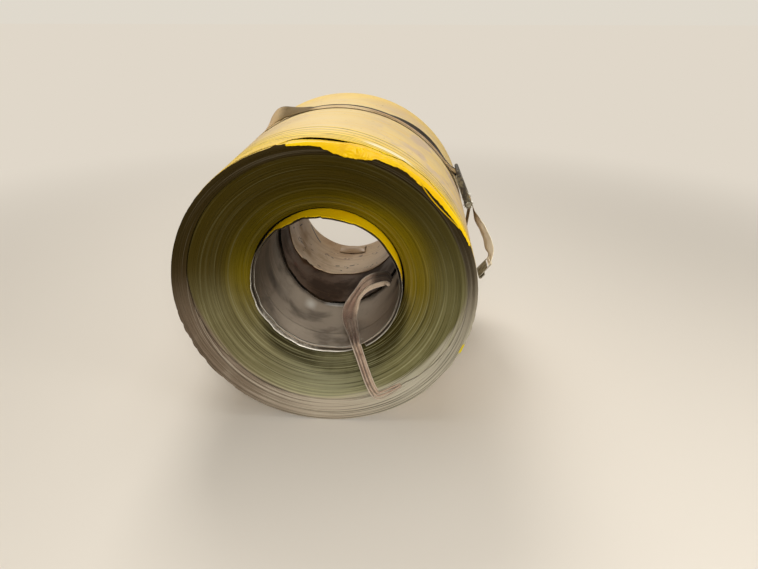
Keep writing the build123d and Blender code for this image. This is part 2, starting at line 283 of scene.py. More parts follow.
def stretched_grain(tree, parts, factors, detail):
    """Noise on a position with each part stretched by its own factor."""
    stretched = [product(tree, part, factor) for part, factor in zip(parts, factors)]
    return grain(tree, add(tree, "CombineXYZ", dict(enumerate(stretched))).outputs[0], 1.0, detail)


def round_curve(tree, turn, places):
    """A value that changes round the coil, from a list of (angle in degrees, value from 0 to 1)."""
    curve = add(tree, "FloatCurve", {1: sums(tree, "ADD", sums(tree, "DIVIDE", turn, 2 * pi), 0.5)})
    points = curve.mapping.curves[0].points
    for angle, value in places[1:-1]:
        points.new(angle / 360 + 0.5, value)
    points[0].location = (0.0, places[0][1])
    points[len(places) - 1].location = (1.0, places[-1][1])
    for point in points:
        point.handle_type = "AUTO_CLAMPED"
    curve.mapping.update()
    return curve.outputs[0]


NEAR_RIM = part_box("coil")[0][1]
print("the near rim is at y", round(NEAR_RIM, 4), "m")

# %% [markdown]
# Thousands of cut edges of painted strip make the near face. Paint covers only the broad
# sides, so an edge shows bare, dull metal tinted by the paint beside it. The top of the hollow
# face is painted dark as shade, and its lower half, which looks up, is painted lighter as dust
# that lies there and as painted light. Rings are drawn from the distance to the bore's axis,
# stretched far more than the other directions. The outermost turns have had more handling, so
# they are browner, and a second material made by the same helper covers them.

# %% Finish of the turn edges
# Each set of tints is: painted shade on top, dust and painted light at the bottom, left side and where it
# starts, right side likewise.
FACE_TINTS = (tint(56, 45, 4), tint(130, 126, 96), tint(100, 90, 54), 0.35, tint(106, 99, 54), 1.15)
RIM_TINTS = (tint(46, 35, 8), tint(168, 154, 132), tint(98, 79, 62), 0.35, tint(180, 173, 151), 0.20)
DARK_GROOVE = tint(36, 30, 8)
DEEP_SHADE = tint(46, 40, 8)
# From these radii outwards the turns are browned by handling, by angle from the top.
WORN_FROM = [(-180, 0.530), (-160, 0.532), (-134, 0.530), (-117, 0.532), (-102, 0.547), (-90, 0.568),
             (-75, 0.580), (0, 0.590), (88, 0.592), (100, 0.580), (110, 0.561), (118, 0.549),
             (134, 0.537), (144, 0.531), (165, 0.522), (180, 0.530)]
# The dish is in its own shade out to these radii.
SHADE_TO = [(-180, 0.434), (-160, 0.412), (-144, 0.400), (-136, 0.388), (-128, 0.366), (-115, 0.335),
            (-95, 0.300), (0, 0.250), (85, 0.315), (102, 0.350), (115, 0.376), (124, 0.394),
            (133, 0.415), (143, 0.430), (160, 0.442), (180, 0.434)]


def painted_shade_and_dust(tree, dust_and_painted_light_share, height_share, side_share, tints):
    """A colour that goes from painted shade on top to dust and painted light at the bottom, with its own tint
    on each side.
    """
    shaded, lit, left, left_top, right, right_top = tints
    color = blend(tree, dust_and_painted_light_share, shaded, lit)
    for way, side_tint, top in ((-1.0, left, left_top), (1.0, right, right_top)):
        outwards = between(tree, product(tree, side_share, way), 0.0, 0.7)
        side = product(tree, outwards, between(tree, height_share, top, -0.45))
        color = layer(tree, color, side, 0.75, side_tint)
    return color


def turn_edge_finish(name, worn, inner_tint, streak):
    """Cut edges of the turns: painted shade on top, dust and painted light below. Worn ones are brown, with a
    chip of paint.
    """
    made, tree, shader, place = open_material(name, roughness=0.6, Specular_IOR_Level=0.08)
    x, y, z = axes(tree, place)
    radius = distance(tree, x, z)
    turn = sums(tree, "ARCTAN2", x, z)
    height_share = sums(tree, "DIVIDE", z, radius)
    side_share = sums(tree, "DIVIDE", x, radius)
    fine = stretched_grain(tree, (radius, x, z), (210.0, 1.2, 1.2), 2.0)
    broad = stretched_grain(tree, (radius, x, z), (62.0, 0.7, 0.7), 3.0)
    cloudy = use(tree, patches, place, Scale=3.2, Low=0.42, High=0.66, Detail=5.0)["Mask"]
    # This share runs from painted shade on top to dust and painted light below.
    leaning = sums(tree, "ADD", height_share, product(tree, side_share, -0.16))
    dust_and_painted_light_share = between(tree, leaning, 0.35, -0.80)
    color = painted_shade_and_dust(tree, dust_and_painted_light_share, height_share, side_share, RIM_TINTS)
    if not worn:
        past = sums(tree, "SUBTRACT", radius, round_curve(tree, turn, WORN_FROM))
        past = sums(tree, "ADD", past, swing(tree, broad, 0.03))
        inner_color = painted_shade_and_dust(tree, dust_and_painted_light_share, height_share, side_share, FACE_TINTS)
        color = blend(tree, between(tree, past, -0.009, 0.008), inner_color, color)

    # Beside the bore the paint's own colour glows through, further out on the right.
    reach = sums(tree, "SUBTRACT", radius, product(tree, between(tree, side_share, 0.3, 0.9), 0.05))
    close = product(tree, between(tree, reach, 0.470, 0.345), between(tree, height_share, -0.75, 0.10))
    low_down = between(tree, height_share, 0.6, 0.0)
    sideways = sums(tree, "MAXIMUM", low_down, between(tree, side_share, -0.1, 0.6))
    color = layer(tree, color, product(tree, close, ramp(tree, sideways, 0.65, 0.35)), 0.85, inner_tint)
    shade_depth = sums(tree, "SUBTRACT", radius, round_curve(tree, turn, SHADE_TO))
    color = layer(tree, color, between(tree, shade_depth, 0.030, -0.016), 0.92, DEEP_SHADE)

    # Groups of turns show as broad rings, and single turns as fine ones.
    rings = ramp(tree, dust_and_painted_light_share, 0.50, 0.12)
    color = layer(tree, color, product(tree, between(tree, broad, 0.52, 0.72), rings), 0.6, streak)
    color = layer(tree, color, product(tree, between(tree, broad, 0.46, 0.30), rings), 0.5, FACE_TINTS[0])
    color = layer(tree, color, product(tree, cloudy, dust_and_painted_light_share), 0.2, streak)
    color = layer(tree, color, between(tree, fine, 0.47, 0.36), rings, DARK_GROOVE)
    color = layer(tree, color, between(tree, fine, 0.57, 0.70), rings, streak)
    if worn:
        chip = product(tree, band(tree, z, -0.236, 0.026, 0.016), between(tree, x, 0.45, 0.50),
                       between(tree, radius, 0.6215, 0.6265))
        color = blend(tree, chip, color, tint(204, 182, 20))
    finish_surface(tree, shader, color, ramp(tree, fine, 0.25, 0.45), fine, 0.0010)
    return made


turn_edges = turn_edge_finish("turn_edges", False, tint(118, 102, 4), tint(168, 162, 120))
rim_edges = turn_edge_finish("outermost_turn_edges", True, tint(84, 72, 30), tint(190, 178, 156))

# %% [markdown]
# The strip's broad side is yellow paint. It is bright where a sheet covered it until lately,
# and elsewhere a film of tan dust lies on it. Each lap's edge has a dark line painted round the
# coil as the shadow under it, with a bright one beside it where the dust is thinner. Such a
# line is a band at one distance from the rim, which leans a little with x, and noise makes it
# wander.

# %% Finish of the dusty outside
# Each line is: how far back from the rim, half its width, and how strong it is.
LAP_LINES = ((0.082, 0.0045, 0.70), (0.105, 0.0050, 0.75), (0.128, 0.0045, 0.80), (0.158, 0.0055, 0.85),
             (0.190, 0.0050, 0.70), (0.232, 0.0055, 0.80), (0.275, 0.0065, 0.90))
dusty_paint, tree, shader, place = open_material("dusty_yellow_paint", roughness=0.6, Specular_IOR_Level=0.15)
x, y, z = axes(tree, place)
from_rim = sums(tree, "SUBTRACT", y, NEAR_RIM)
wander = swing(tree, stretched_grain(tree, (x, y, z), (1.6, 0.2, 1.6), 2.0), 0.05)
back = sums(tree, "ADD", sums(tree, "ADD", from_rim, product(tree, x, 0.16)), wander)
streaks = stretched_grain(tree, (x, y, z), (1.1, 75.0, 1.1), 4.0)
clouds = use(tree, patches, place, Scale=2.4, Low=0.40, High=0.66, Detail=7.0)["Mask"]
bloom = use(tree, patches, place, Scale=5.5, Low=0.44, High=0.60, Detail=3.0)["Mask"]
specks = use(tree, patches, place, Scale=38.0, Low=0.63, High=0.70, Detail=5.0)["Mask"]
color = blend(tree, clouds, tint(220, 193, 134), tint(206, 180, 136))
color = layer(tree, color, between(tree, streaks, 0.50, 0.70), 0.40, tint(228, 182, 62))
color = layer(tree, color, product(tree, bloom, between(tree, x, 0.05, 0.40)), 0.8, tint(194, 170, 146))
color = layer(tree, color, between(tree, back, 0.30, 0.12), 0.65, tint(240, 200, 56))
color = layer(tree, color, between(tree, y, 0.28, 0.60), 0.45, tint(236, 196, 70))
for line, half, strength in LAP_LINES:
    bright = band(tree, back, line + 0.007, 0.008, 0.002)
    # The dark line is painted shadow under the lap's edge.
    dark = band(tree, back, line, half, half * 0.2)
    color = layer(tree, color, bright, strength * 0.8, tint(250, 216, 70))
    color = layer(tree, color, dark, strength, tint(88, 66, 22))

# A painted highlight on top, fresh paint beside the torn lap, scuffs low on the rim, and one chip.
painted_highlight = product(tree, band(tree, back, 0.152, 0.030, 0.012), band(tree, x, 0.26, 0.12, 0.05))
color = layer(tree, color, painted_highlight, 0.75, tint(250, 240, 205))
fresh = product(tree, between(tree, sums(tree, "ADD", from_rim, wander), 0.062, 0.046),
                between(tree, x, -0.17, -0.10), between(tree, z, 0.20, 0.30))
color = blend(tree, fresh, color, tint(238, 198, 6))
scuffed = product(tree, between(tree, from_rim, 0.060, 0.020), between(tree, z, 0.30, 0.02))
color = layer(tree, color, scuffed, 0.85, tint(122, 113, 92))
chip = product(tree, band(tree, z, -0.238, 0.022, 0.012), between(tree, x, 0.40, 0.50),
               between(tree, from_rim, 0.034, 0.026))
color = blend(tree, chip, color, tint(240, 202, 10))
color = layer(tree, color, specks, 0.5, tint(150, 118, 74))
finish_surface(tree, shader, color, ramp(tree, streaks, 0.25, 0.46), streaks, 0.0006)

# %% [markdown]
# Inside the loose turns the strip shows its galvanised side: grey metal with faint marks
# along the rolling direction, dark smears and a little handling dirt. It is painted darker on
# top and lighter low down, as shade and light. The turns' own UV maps say how far a point is
# from the torn edge, so a bright edge and the dark line of painted shade behind it can follow
# the sheet however it bends.


# %% Finish of the bare metal
def torn_edge_colors(tree, color, place, x, z, width, behind):
    """The torn edge of a loose turn, bright only low down as painted light. Past it lies rough metal, crushed
    low on the left, when behind is set, and else a thin line of painted shade there.
    """
    across = axes(tree, add(tree, "UVMap", uv_map="flat").outputs[0])[1]
    torn = grain(tree, place, 70.0, 5.0)
    ragged = sums(tree, "ADD", sums(tree, "ADD", across, width / 2), swing(tree, torn, 0.0035))
    crushed = product(tree, between(tree, x, -0.02, -0.10), between(tree, z, -0.09, -0.15))
    if behind:
        rough_metal = blend(tree, between(tree, torn, 0.42, 0.56), tint(112, 104, 90), tint(176, 170, 158))
        filled = blend(tree, crushed, tint(50, 42, 30), rough_metal)
        color = layer(tree, color, between(tree, ragged, 0.0066, 0.0080), 0.85, filled)
    else:
        # A thin line of painted shade in the gap behind the edge, low on the left.
        painted_gap_line = band(tree, ragged, 0.0085, 0.0030, 0.0015)
        color = layer(tree, color, crushed, painted_gap_line, tint(22, 17, 10))
    # The bright edge is the bare cut metal, kept to the lower half, where it is lit, as painted light.
    bright = product(tree, between(tree, ragged, 0.0066, 0.0050), between(tree, z, 0.14, 0.02))
    return layer(tree, color, bright, 0.9, tint(182, 176, 162))


def bare_metal(name, width=0.0, behind=False):
    """Bare steel. With a sheet's width, its near edge is bright; behind says that it lies behind another."""
    made, tree, shader, place = open_material(name, metallic=0.5, roughness=0.4)
    x, y, z = axes(tree, place)
    turn = sums(tree, "ARCTAN2", x, z)
    rolled = stretched_grain(tree, (x, y, z), (9.0, 1.2, 9.0), 5.0)
    round_marks = stretched_grain(tree, (x, y, z), (1.5, 46.0, 1.5), 4.0)
    smears = use(tree, patches, place, Scale=3.4, Low=0.46, High=0.66, Detail=4.0)["Mask"]
    grime = use(tree, patches, place, Scale=13.0, Low=0.56, High=0.70, Detail=6.0)["Mask"]
    # Painted shade and light: darker on top, lighter low down.
    color = blend(tree, between(tree, z, 0.0, -0.30), tint(72, 62, 48), tint(194, 178, 158))
    color = layer(tree, color, rolled, 0.3, tint(128, 114, 98))
    color = layer(tree, color, between(tree, round_marks, 0.52, 0.70), 0.25, tint(176, 162, 144))
    color = layer(tree, color, smears, 0.55, tint(54, 44, 32))
    color = layer(tree, color, grime, 0.35, tint(120, 94, 70))
    high_smear = product(tree, band(tree, y, -0.235, 0.065, 0.015), between(tree, z, -0.25, -0.10))
    color = layer(tree, color, high_smear, 0.7, tint(34, 26, 16))

    # Two places low in the bore get painted glints: bright spots that stand in for reflections.
    painted_glint_left = product(tree, band(tree, turn, -radians(154), 0.13, 0.0), band(tree, y, -0.14, 0.070, 0.0))
    round_bottom = between(tree, sums(tree, "ABSOLUTE", turn), radians(164), radians(171))
    painted_glint_low = product(tree, round_bottom, band(tree, y, -0.084, 0.024, 0.008))
    painted_glint = sums(tree, "MAXIMUM", painted_glint_left, painted_glint_low)
    color = layer(tree, color, painted_glint, sums(tree, "ADD", 0.35, rolled), tint(244, 240, 230))
    if width > 0:
        color = torn_edge_colors(tree, color, place, x, z, width, behind)
    rough = sums(tree, "ADD", product(tree, smears, 0.22), ramp(tree, rolled, 0.2, 0.30))
    metal = sums(tree, "SUBTRACT", 0.50, product(tree, grime, 0.4))
    finish_surface(tree, shader, color, rough, round_marks, 0.0005, metal)
    return made


OUTER_TURN_DEPTH = 0.12
INNER_TURN_DEPTH = 0.14
galvanised = bare_metal("galvanised_steel")
outer_inside = bare_metal("inside_of_the_outer_loose_turn", OUTER_TURN_DEPTH, behind=True)
inner_inside = bare_metal("inside_of_the_inner_loose_turn", INNER_TURN_DEPTH)

# %% [markdown]
# The torn edges themselves are bent, knocked metal, painted darker in their dents as shade.
# They are lit and pale low down and take the shaded paint's colour on top, so their tint
# changes with the height.

# %% Finish of the torn edges of the turns
edge_metal, tree, shader, place = open_material("bent_turn_edge", metallic=0.3, roughness=0.5)
height = axes(tree, place)[2]
worn = use(tree, patches, place, Scale=16.0, Low=0.44, High=0.60, Detail=6.0)["Mask"]
dents = use(tree, patches, place, Scale=34.0, Low=0.56, High=0.64, Detail=3.0)["Mask"]
color = blend(tree, worn, tint(184, 177, 161), tint(142, 132, 114))
# Painted shade in the dents.
color = layer(tree, color, dents, 0.7, tint(60, 52, 38))
color = blend(tree, between(tree, height, 0.02, 0.22), color, tint(74, 60, 16))
finish_surface(tree, shader, color, None, dents, 0.0008)

# %% [markdown]
# Deeper in the bore the turns show their brown primer, stained and here and there rusty. The
# marks run round the bore, because the turns slid past each other that way.

# %% Finish of the stained bore
brown_bore, tree, shader, place = open_material("brown_primer", roughness=0.6, Specular_IOR_Level=0.2)
x, y, z = axes(tree, place)
round_marks = stretched_grain(tree, (x, y, z), (1.5, 60.0, 1.5), 4.0)
stains = use(tree, patches, place, Scale=5.0, Low=0.42, High=0.62, Detail=6.0)["Mask"]
rust = use(tree, patches, place, Scale=9.0, Low=0.62, High=0.70, Detail=5.0)["Mask"]
color = blend(tree, stains, tint(94, 68, 46), tint(66, 46, 30))
color = layer(tree, color, between(tree, round_marks, 0.55, 0.72), 0.4, tint(112, 84, 58))
color = layer(tree, color, rust, 0.6, tint(92, 40, 18))
finish_surface(tree, shader, color, ramp(tree, stains, 0.20, 0.50), round_marks, 0.0006)

# %% [markdown]
# A sheet with a cream back lines the far half of the bore. It is palest low down beside its
# near edge, browner further in and on top, spotted with dirt, and a few dark scrapes cross
# it; a dark line along the curl is painted shade under the curled edge. A scrape is a short
# line, so its mask measures along and beside that line, in metres.

# %% Finish of the cream sheet
# Each scrape is: angle and y at its start, angle and y at its end, and half its width. The last one is
# painted shade under the curl.
SCRAPES = ((-121.7, 0.661, -140.6, 0.570, 0.0090), (-101.0, 0.325, -101.5, 0.341, 0.0070),
           (-108.0, 0.470, -110.0, 0.520, 0.0050), (-167.0, 0.352, -170.0, 0.360, 0.0065),
           (178.0, 0.374, 174.0, 0.382, 0.0060), (-129.0, 0.209, -143.0, 0.222, 0.0080))
CREAM_RADIUS = 0.304
cream_sheet, tree, shader, place = open_material("cream_backing", roughness=0.5, Specular_IOR_Level=0.3)
x, y, z = axes(tree, place)
turn = sums(tree, "ARCTAN2", x, z)
round_marks = stretched_grain(tree, (x, y, z), (2.2, 40.0, 2.2), 5.0)
dirt = use(tree, patches, place, Scale=4.4, Low=0.44, High=0.66, Detail=7.0)["Mask"]
spots = use(tree, patches, place, Scale=24.0, Low=0.62, High=0.67, Detail=4.0)["Mask"]
color = blend(tree, between(tree, y, 0.62, 0.30), tint(164, 134, 96), tint(216, 188, 152))
color = layer(tree, color, between(tree, z, -0.16, 0.10), 0.75, tint(128, 96, 66))
color = layer(tree, color, dirt, 0.55, tint(140, 106, 74))
color = layer(tree, color, between(tree, round_marks, 0.54, 0.68), 0.4, tint(124, 94, 62))
color = layer(tree, color, spots, 0.8, tint(62, 36, 24))
for first_angle, first_y, last_angle, last_y, half in SCRAPES:
    run = Vector((radians(last_angle - first_angle) * CREAM_RADIUS, last_y - first_y))
    way, middle = run.normalized(), run.length / 2
    aside = product(tree, sums(tree, "SUBTRACT", turn, radians(first_angle)), CREAM_RADIUS)
    beyond = sums(tree, "SUBTRACT", y, first_y)
    along = sums(tree, "ADD", product(tree, aside, way.x), product(tree, beyond, way.y))
    beside = sums(tree, "SUBTRACT", product(tree, aside, way.y), product(tree, beyond, way.x))
    inside = band(tree, along, middle, middle + half, middle)
    wavy = sums(tree, "ABSOLUTE", sums(tree, "ADD", beside, swing(tree, dirt, half)))
    color = layer(tree, color, inside, between(tree, wavy, half, half * 0.4), tint(24, 15, 9))
finish_surface(tree, shader, color, ramp(tree, dirt, 0.3, 0.40), round_marks, 0.0006)

# %% [markdown]
# Paint that a sheet has covered until lately is clean, strong yellow with a few scratches.
# Down in the crescent gap no light reaches it, so there it turns dark with the depth.

# %% Finish of the clean paint
clean_paint, tree, shader, place = open_material("clean_yellow_paint", roughness=0.45, Specular_IOR_Level=0.2)
x, y, z = axes(tree, place)
radius = distance(tree, x, z)
grimy = use(tree, patches, place, Scale=7.0, Low=0.54, High=0.72, Detail=6.0)["Mask"]
deep = use(tree, patches, place, Scale=5.0, Low=0.44, High=0.62, Detail=3.0)["Mask"]
marks = use(tree, scratches, place, Along=6.0, Across=120.0, Amount=0.3)["Mask"]
color = layer(tree, tint(240, 197, 0), deep, 0.6, tint(234, 182, 0))
color = layer(tree, color, grimy, 0.45, tint(206, 150, 24))
color = layer(tree, color, marks, 0.35, tint(238, 214, 110))
in_gap = product(tree, between(tree, y, -0.466, -0.459), between(tree, radius, 0.400, 0.370))
color = blend(tree, in_gap, color, tint(14, 10, 4))
finish_surface(tree, shader, color, ramp(tree, grimy, 0.30, 0.36), grimy, 0.0005)

# %% [markdown]
# Gaps between turns and other places that are only ever seen as darkness get a near-black,
# matt finish: painted shade, mottled a little.

# %% Finish of painted shade for the gaps between turns
painted_gap_shade, tree, shader, place = open_material("painted_shade_in_gaps", roughness=0.8, Specular_IOR_Level=0.05)
shade_mottle = use(tree, patches, place, Scale=11.0, Low=0.45, High=0.65, Detail=4.0)["Mask"]
finish_surface(tree, shader, blend(tree, shade_mottle, tint(14, 10, 6), tint(40, 30, 18)))
print("materials:", ", ".join(sorted(material.name for material in bpy.data.materials)))

# %% [markdown]
# The coil itself is one closed profile turned about the y axis. Reading the profile from the
# near rim inwards: the face steps in and out a little from group to group of turns, a gap
# goes round the loose inner turns, and the bore narrows at a step to the stained turns. The
# angle that each helper takes starts at the top and runs clockwise, seen from the near end.

# %% Sizes of the coil
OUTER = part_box("coil")[1][2]
STRIP_WIDTH = 1.219
FAR_RIM = NEAR_RIM + STRIP_WIDTH
RIM_INSIDE = OUTER - 0.016
DISH_RADIUS = 0.334
DISH_DEPTH = 0.140
COLLAR_NEAR = NEAR_RIM + 0.078
COLLAR_FAR = FAR_RIM + 0.078
BORE = 0.305
STRAP_PLACE = 0.175
STRAP_WIDTH = 0.100
SHEET = 0.0009  # thickness of the loose sheets, paint included
print("rim at y", round(NEAR_RIM, 4), "and", round(FAR_RIM, 4), "m, radius", round(OUTER, 4), "m")


# %% Helpers for round shapes
def around(radius, angle, along):
    """A point at an angle clockwise from the top, in degrees."""
    return Vector((radius * sin(radians(angle)), along, radius * cos(radians(angle))))


def angle_of(point):
    """The angle of a point clockwise from the top, in degrees."""
    return degrees(atan2(point.x, point.z))


def away(point):
    """Away from the bore's axis."""
    return Vector((point.x, 0.0, point.z))


def ring_noise(angle, speed, seed):
    """Noise from about -1 to 1 that meets itself after a full turn."""
    turn = radians(angle)
    return noise.noise(Vector((speed * cos(turn), speed * sin(turn), seed)))


def smooth(share):
    """A share from 0 to 1 that starts and ends gently."""
    share = min(max(share, 0.0), 1.0)
    return share * share * (3 - 2 * share)


def eased(places, angle):
    """The value at an angle, from a list of (angle, value), smooth between its entries."""
    if angle <= places[0][0]:
        return places[0][1]
    for (before, low), (after, high) in zip(places, places[1:]):
        if angle <= after:
            return low + (high - low) * smooth((angle - before) / (after - before))
    return places[-1][1]


def slid(radius):
    """How far the turn at this radius has slid towards the far end."""
    return DISH_DEPTH * max(RIM_INSIDE - radius, 0.0) / (RIM_INSIDE - DISH_RADIUS)


print("the turn at the gap has slid", round(slid(DISH_RADIUS), 3), "m")

# %% [markdown]
# Each group of turns stands a little further out or in than the next, with a groove between
# them. Typed by hand these would be hundreds of numbers, so they are drawn at random, and a
# seed makes the draws come out the same each time. Each point of the profile also says which
# finish the surface from it to the next point has.

# %% The coil's profile
# The last zone gets painted shade: the walls and floor of the gap round the loose turns, and the wall of the
# step in the bore.
FACE, OUTSIDE, METAL, STAINED, RIM_FACE, GAP_SHADE = range(6)
RING_RADIUS = 0.578
RING_GAP = 0.002
TURN_GROUP = 0.0078
FAR_TURN_GROUP = 0.0260
GAP_FLOOR = NEAR_RIM + DISH_DEPTH + 0.055
BORE_STEP = COLLAR_NEAR + 0.430
WAIST = OUTER - 0.0033
BODY = OUTER - 0.0014
WAIST_HALF = 0.058
SLOPE_HALF = 0.118
draw = random.Random(11)


def turn_groups(rim, start, end, widest, inward, zone=FACE):
    """Groups of turns from a radius in to another, each with its own stand and a groove beside it."""
    points = []
    radius = start
    while radius > end + 0.0005:
        inner = max(radius - draw.uniform(0.35, 1.0) * widest, end)
        stand = draw.uniform(-0.0009, 0.0009)
        groove = draw.choice((0.0004, 0.0009, 0.0020)) * inward
        points.append((radius, rim + slid(radius) + stand, zone))
        points.append((inner + 0.0008, rim + slid(inner) + stand, zone))
        points.append((inner + 0.0004, rim + slid(inner) + stand + groove, zone))
        radius = inner
    return points


near_points = turn_groups(NEAR_RIM, BODY, RING_RADIUS + RING_GAP, TURN_GROUP, 1, RIM_FACE)
rim_count = len(near_points)
RING_POINTS = ((0.0018, 0.009), (-0.0012, 0.009), (-0.0016, -0.002))
near_points += [(RING_RADIUS + out, NEAR_RIM + slid(RING_RADIUS) + deep, FACE) for out, deep in RING_POINTS]
near_points += turn_groups(NEAR_RIM, RING_RADIUS - RING_GAP, DISH_RADIUS, TURN_GROUP, 1)
near_points[-1] = near_points[-1][:2] + (GAP_SHADE,)
far_points = turn_groups(FAR_RIM, OUTER - 0.0005, DISH_RADIUS, FAR_TURN_GROUP, -1)
profile = near_points + [
    (DISH_RADIUS, GAP_FLOOR, GAP_SHADE),
    (0.3250, GAP_FLOOR, METAL),
    (0.3235, COLLAR_NEAR + 0.020, METAL),
    (0.3195, COLLAR_NEAR + 0.020, METAL),
    (0.3190, COLLAR_NEAR + 0.150, METAL),
    (0.3185, COLLAR_NEAR + 0.300, METAL),
    (0.3180, BORE_STEP, GAP_SHADE),
    (BORE + 0.001, BORE_STEP, STAINED),
    (BORE, BORE_STEP + 0.20, STAINED),
    (BORE, COLLAR_FAR - 0.02, STAINED),
    (BORE + 0.001, COLLAR_FAR, FACE),
    (DISH_RADIUS - 0.002, COLLAR_FAR, FACE),
]
profile += list(reversed(far_points))
profile += [
    (OUTER, FAR_RIM - 0.002, OUTSIDE),
    (OUTER, FAR_RIM - 0.10, OUTSIDE),
    (OUTER, STRAP_PLACE + SLOPE_HALF, OUTSIDE),
    (WAIST, STRAP_PLACE + WAIST_HALF, OUTSIDE),
    (WAIST, STRAP_PLACE - WAIST_HALF, OUTSIDE),
    (OUTER, STRAP_PLACE - SLOPE_HALF, OUTSIDE),
    (OUTER, NEAR_RIM + 0.263, OUTSIDE),
    (OUTER - 0.0006, NEAR_RIM + 0.262, OUTSIDE),
    (OUTER - 0.0003, NEAR_RIM + 0.196, OUTSIDE),
    (OUTER - 0.0009, NEAR_RIM + 0.194, OUTSIDE),
    (OUTER - 0.0006, NEAR_RIM + 0.154, OUTSIDE),
    (BODY, NEAR_RIM + 0.152, OUTSIDE),
    (BODY, NEAR_RIM + 0.060, OUTSIDE),
    (BODY, NEAR_RIM + 0.004, OUTSIDE),
]
print(len(profile), "points round the profile")

# %% [markdown]
# The loose inner turns aren't round: low on the left they have lifted off the turns behind
# them. One list of radii, read round the edge, serves the coil and the sheets on it, and it
# fades out deeper in the bore, where the turns are tight again.

# %% Shape of the loose turns
EDGE_RADII = [(-180, 0.3105), (-155, 0.3075), (-128, 0.3085), (-105, 0.3150), (-88, 0.3190), (-60, 0.3235),
              (0, 0.3245), (80, 0.3235), (105, 0.3185), (128, 0.3225), (149, 0.3240), (162, 0.3230),
              (180, 0.3105)]
COLLAR_OUTSIDE = 0.3245
DRAWN_UNTIL = NEAR_RIM + 0.32
FADE_LENGTH = 0.24


def drawn_in(angle, along):
    """How far the loose turns lie inside their true radius, at an angle and a place along the bore."""
    return (COLLAR_OUTSIDE - eased(EDGE_RADII, angle)) * smooth((DRAWN_UNTIL - along) / FADE_LENGTH)


print("drawn in at the bottom by", round(drawn_in(180, COLLAR_NEAR), 4), "m")

# %% [markdown]
# A profile is turned by the spin operator, which closes on its first copy when use_merge is
# on. After the spin each point is moved by a function of its angle, so that no turn stays
# perfectly round. A number kept on each point says which point of the profile it came from.


# %% Helpers that turn a profile and finish a mesh
def finished(name, bm, materials, sharp=35.0):
    """Makes an object of a bmesh, smooth except at sharp edges, and says how large it is."""
    mesh = bpy.data.meshes.new(name)
    bm.to_mesh(mesh)
    bm.free()
    for material in materials:
        mesh.materials.append(material)
    mesh.shade_smooth()
    mesh.set_sharp_from_angle(angle=radians(sharp))
    made = bpy.data.objects.new(name, mesh)
    bpy.context.scene.collection.objects.link(made)
    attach(made, "root")
    print(name, len(mesh.polygons), "faces")
    return made


def turned(name, points, steps, shape, materials):
    """Turns a closed profile about the y axis, then moves each point by shape(angle, radius, y, number)."""
    bm = bmesh.new()
    number_layer = bm.verts.layers.int.new("number")
    ring = [bm.verts.new((0.0, along, radius)) for radius, along, zone in points]
    for number, vertex in enumerate(ring):
        vertex[number_layer] = number
    edges = [bm.edges.new(pair) for pair in zip(ring, ring[1:] + ring[:1])]
    bmesh.ops.spin(bm, geom=ring + edges, cent=(0, 0, 0), axis=(0, 1, 0), dvec=(0, 0, 0), angle=2 * pi,
                   steps=steps, use_merge=True, use_duplicate=False)
    for face in bm.faces:
        numbers = [vertex[number_layer] for vertex in face.verts]
        first = min(numbers) if max(numbers) - min(numbers) == 1 else max(numbers)
        face.material_index = points[first][2]
    for vertex in bm.verts:
        angle = angle_of(vertex.co)
        radius, along = shape(angle, hypot(vertex.co.x, vertex.co.z), vertex.co.y, vertex[number_layer])
        vertex.co = around(radius, angle, along)
    bmesh.ops.recalc_face_normals(bm, faces=bm.faces)
    return finished(name, bm, materials)


# %% [markdown]
# A heavy coil is knocked when it is set down: its rim is chipped and dented at the sides, and
# a burr stands up near the top. One ring line wanders round the face where two batches of
# turns meet, and in the bore the step to the stained turns runs slantwise.

# %% Dents and lines of the coil
RING_LINE = [(-180, 0.536), (-165, 0.535), (-150, 0.537), (-135, 0.536), (-127, 0.538), (-120, 0.546),
             (-110, 0.550), (-95, 0.562), (-80, 0.574), (-40, 0.580), (0, 0.578), (60, 0.582), (88, 0.595),
             (100, 0.587), (111, 0.580), (123, 0.572), (132, 0.564), (142, 0.551), (160, 0.540), (180, 0.536)]
RING_DEPTH = [(-180, 0.7), (-60, 1.0), (-20, 0.15), (60, 0.1), (100, 0.4), (140, 1.0), (180, 0.7)]
CHIPS = [(-150, 0.0), (-138, 1.0), (-98, 1.0), (-88, 0.2), (-60, 0.2), (-30, 0.3), (88, 0.2), (98, 0.9),
         (130, 1.0), (142, 0.0)]
CHIP_DEPTH = 0.0085
# Each dent is: its angle, half its width in degrees, and its depth. Each burr has a height instead.
DENTS = ((127.0, 5.0, 0.0085), (117.0, 1.6, 0.0060), (107.5, 1.2, 0.0040), (-111.5, 1.5, 0.0065),
         (-104.0, 1.0, 0.0045), (-121.0, 1.8, 0.0050), (-133.0, 3.0, 0.0050))
BURRS = ((-14.0, 1.3, 0.0065), (-11.0, 0.9, 0.0039))
STEP_SHIFT = [(-180, 0.034), (-165, 0.032), (-143.8, 0.064), (-122.6, 0.099), (-98.6, 0.138), (-60, 0.140),
              (60, 0.110), (120, 0.060), (175, 0.034), (180, 0.034)]


def bumps(places, angle):
    """Round bumps along a rim, from a list of (angle, half width, height), summed."""
    return sum(height * exp(-((angle - place) / half) ** 2) for place, half, height in places)


def chipped(angle):
    """How deep the rim is dented at an angle; below 0 a burr stands up."""
    coarse = max(ring_noise(angle, 17.0, 21.0) - 0.06, 0.0)
    small = 0.6 * max(ring_noise(angle, 44.0, 22.0) - 0.1, 0.0)
    return CHIP_DEPTH * eased(CHIPS, angle) * (coarse + small) + bumps(DENTS, angle) - bumps(BURRS, angle)


print("deepest dent", round(max(chipped(angle) for angle in range(-180, 180)) * 1000, 1), "mm")

# %% Turn the coil
FACE_COUNT = len(near_points)
RING_DEEP = NEAR_RIM + slid(RING_RADIUS)


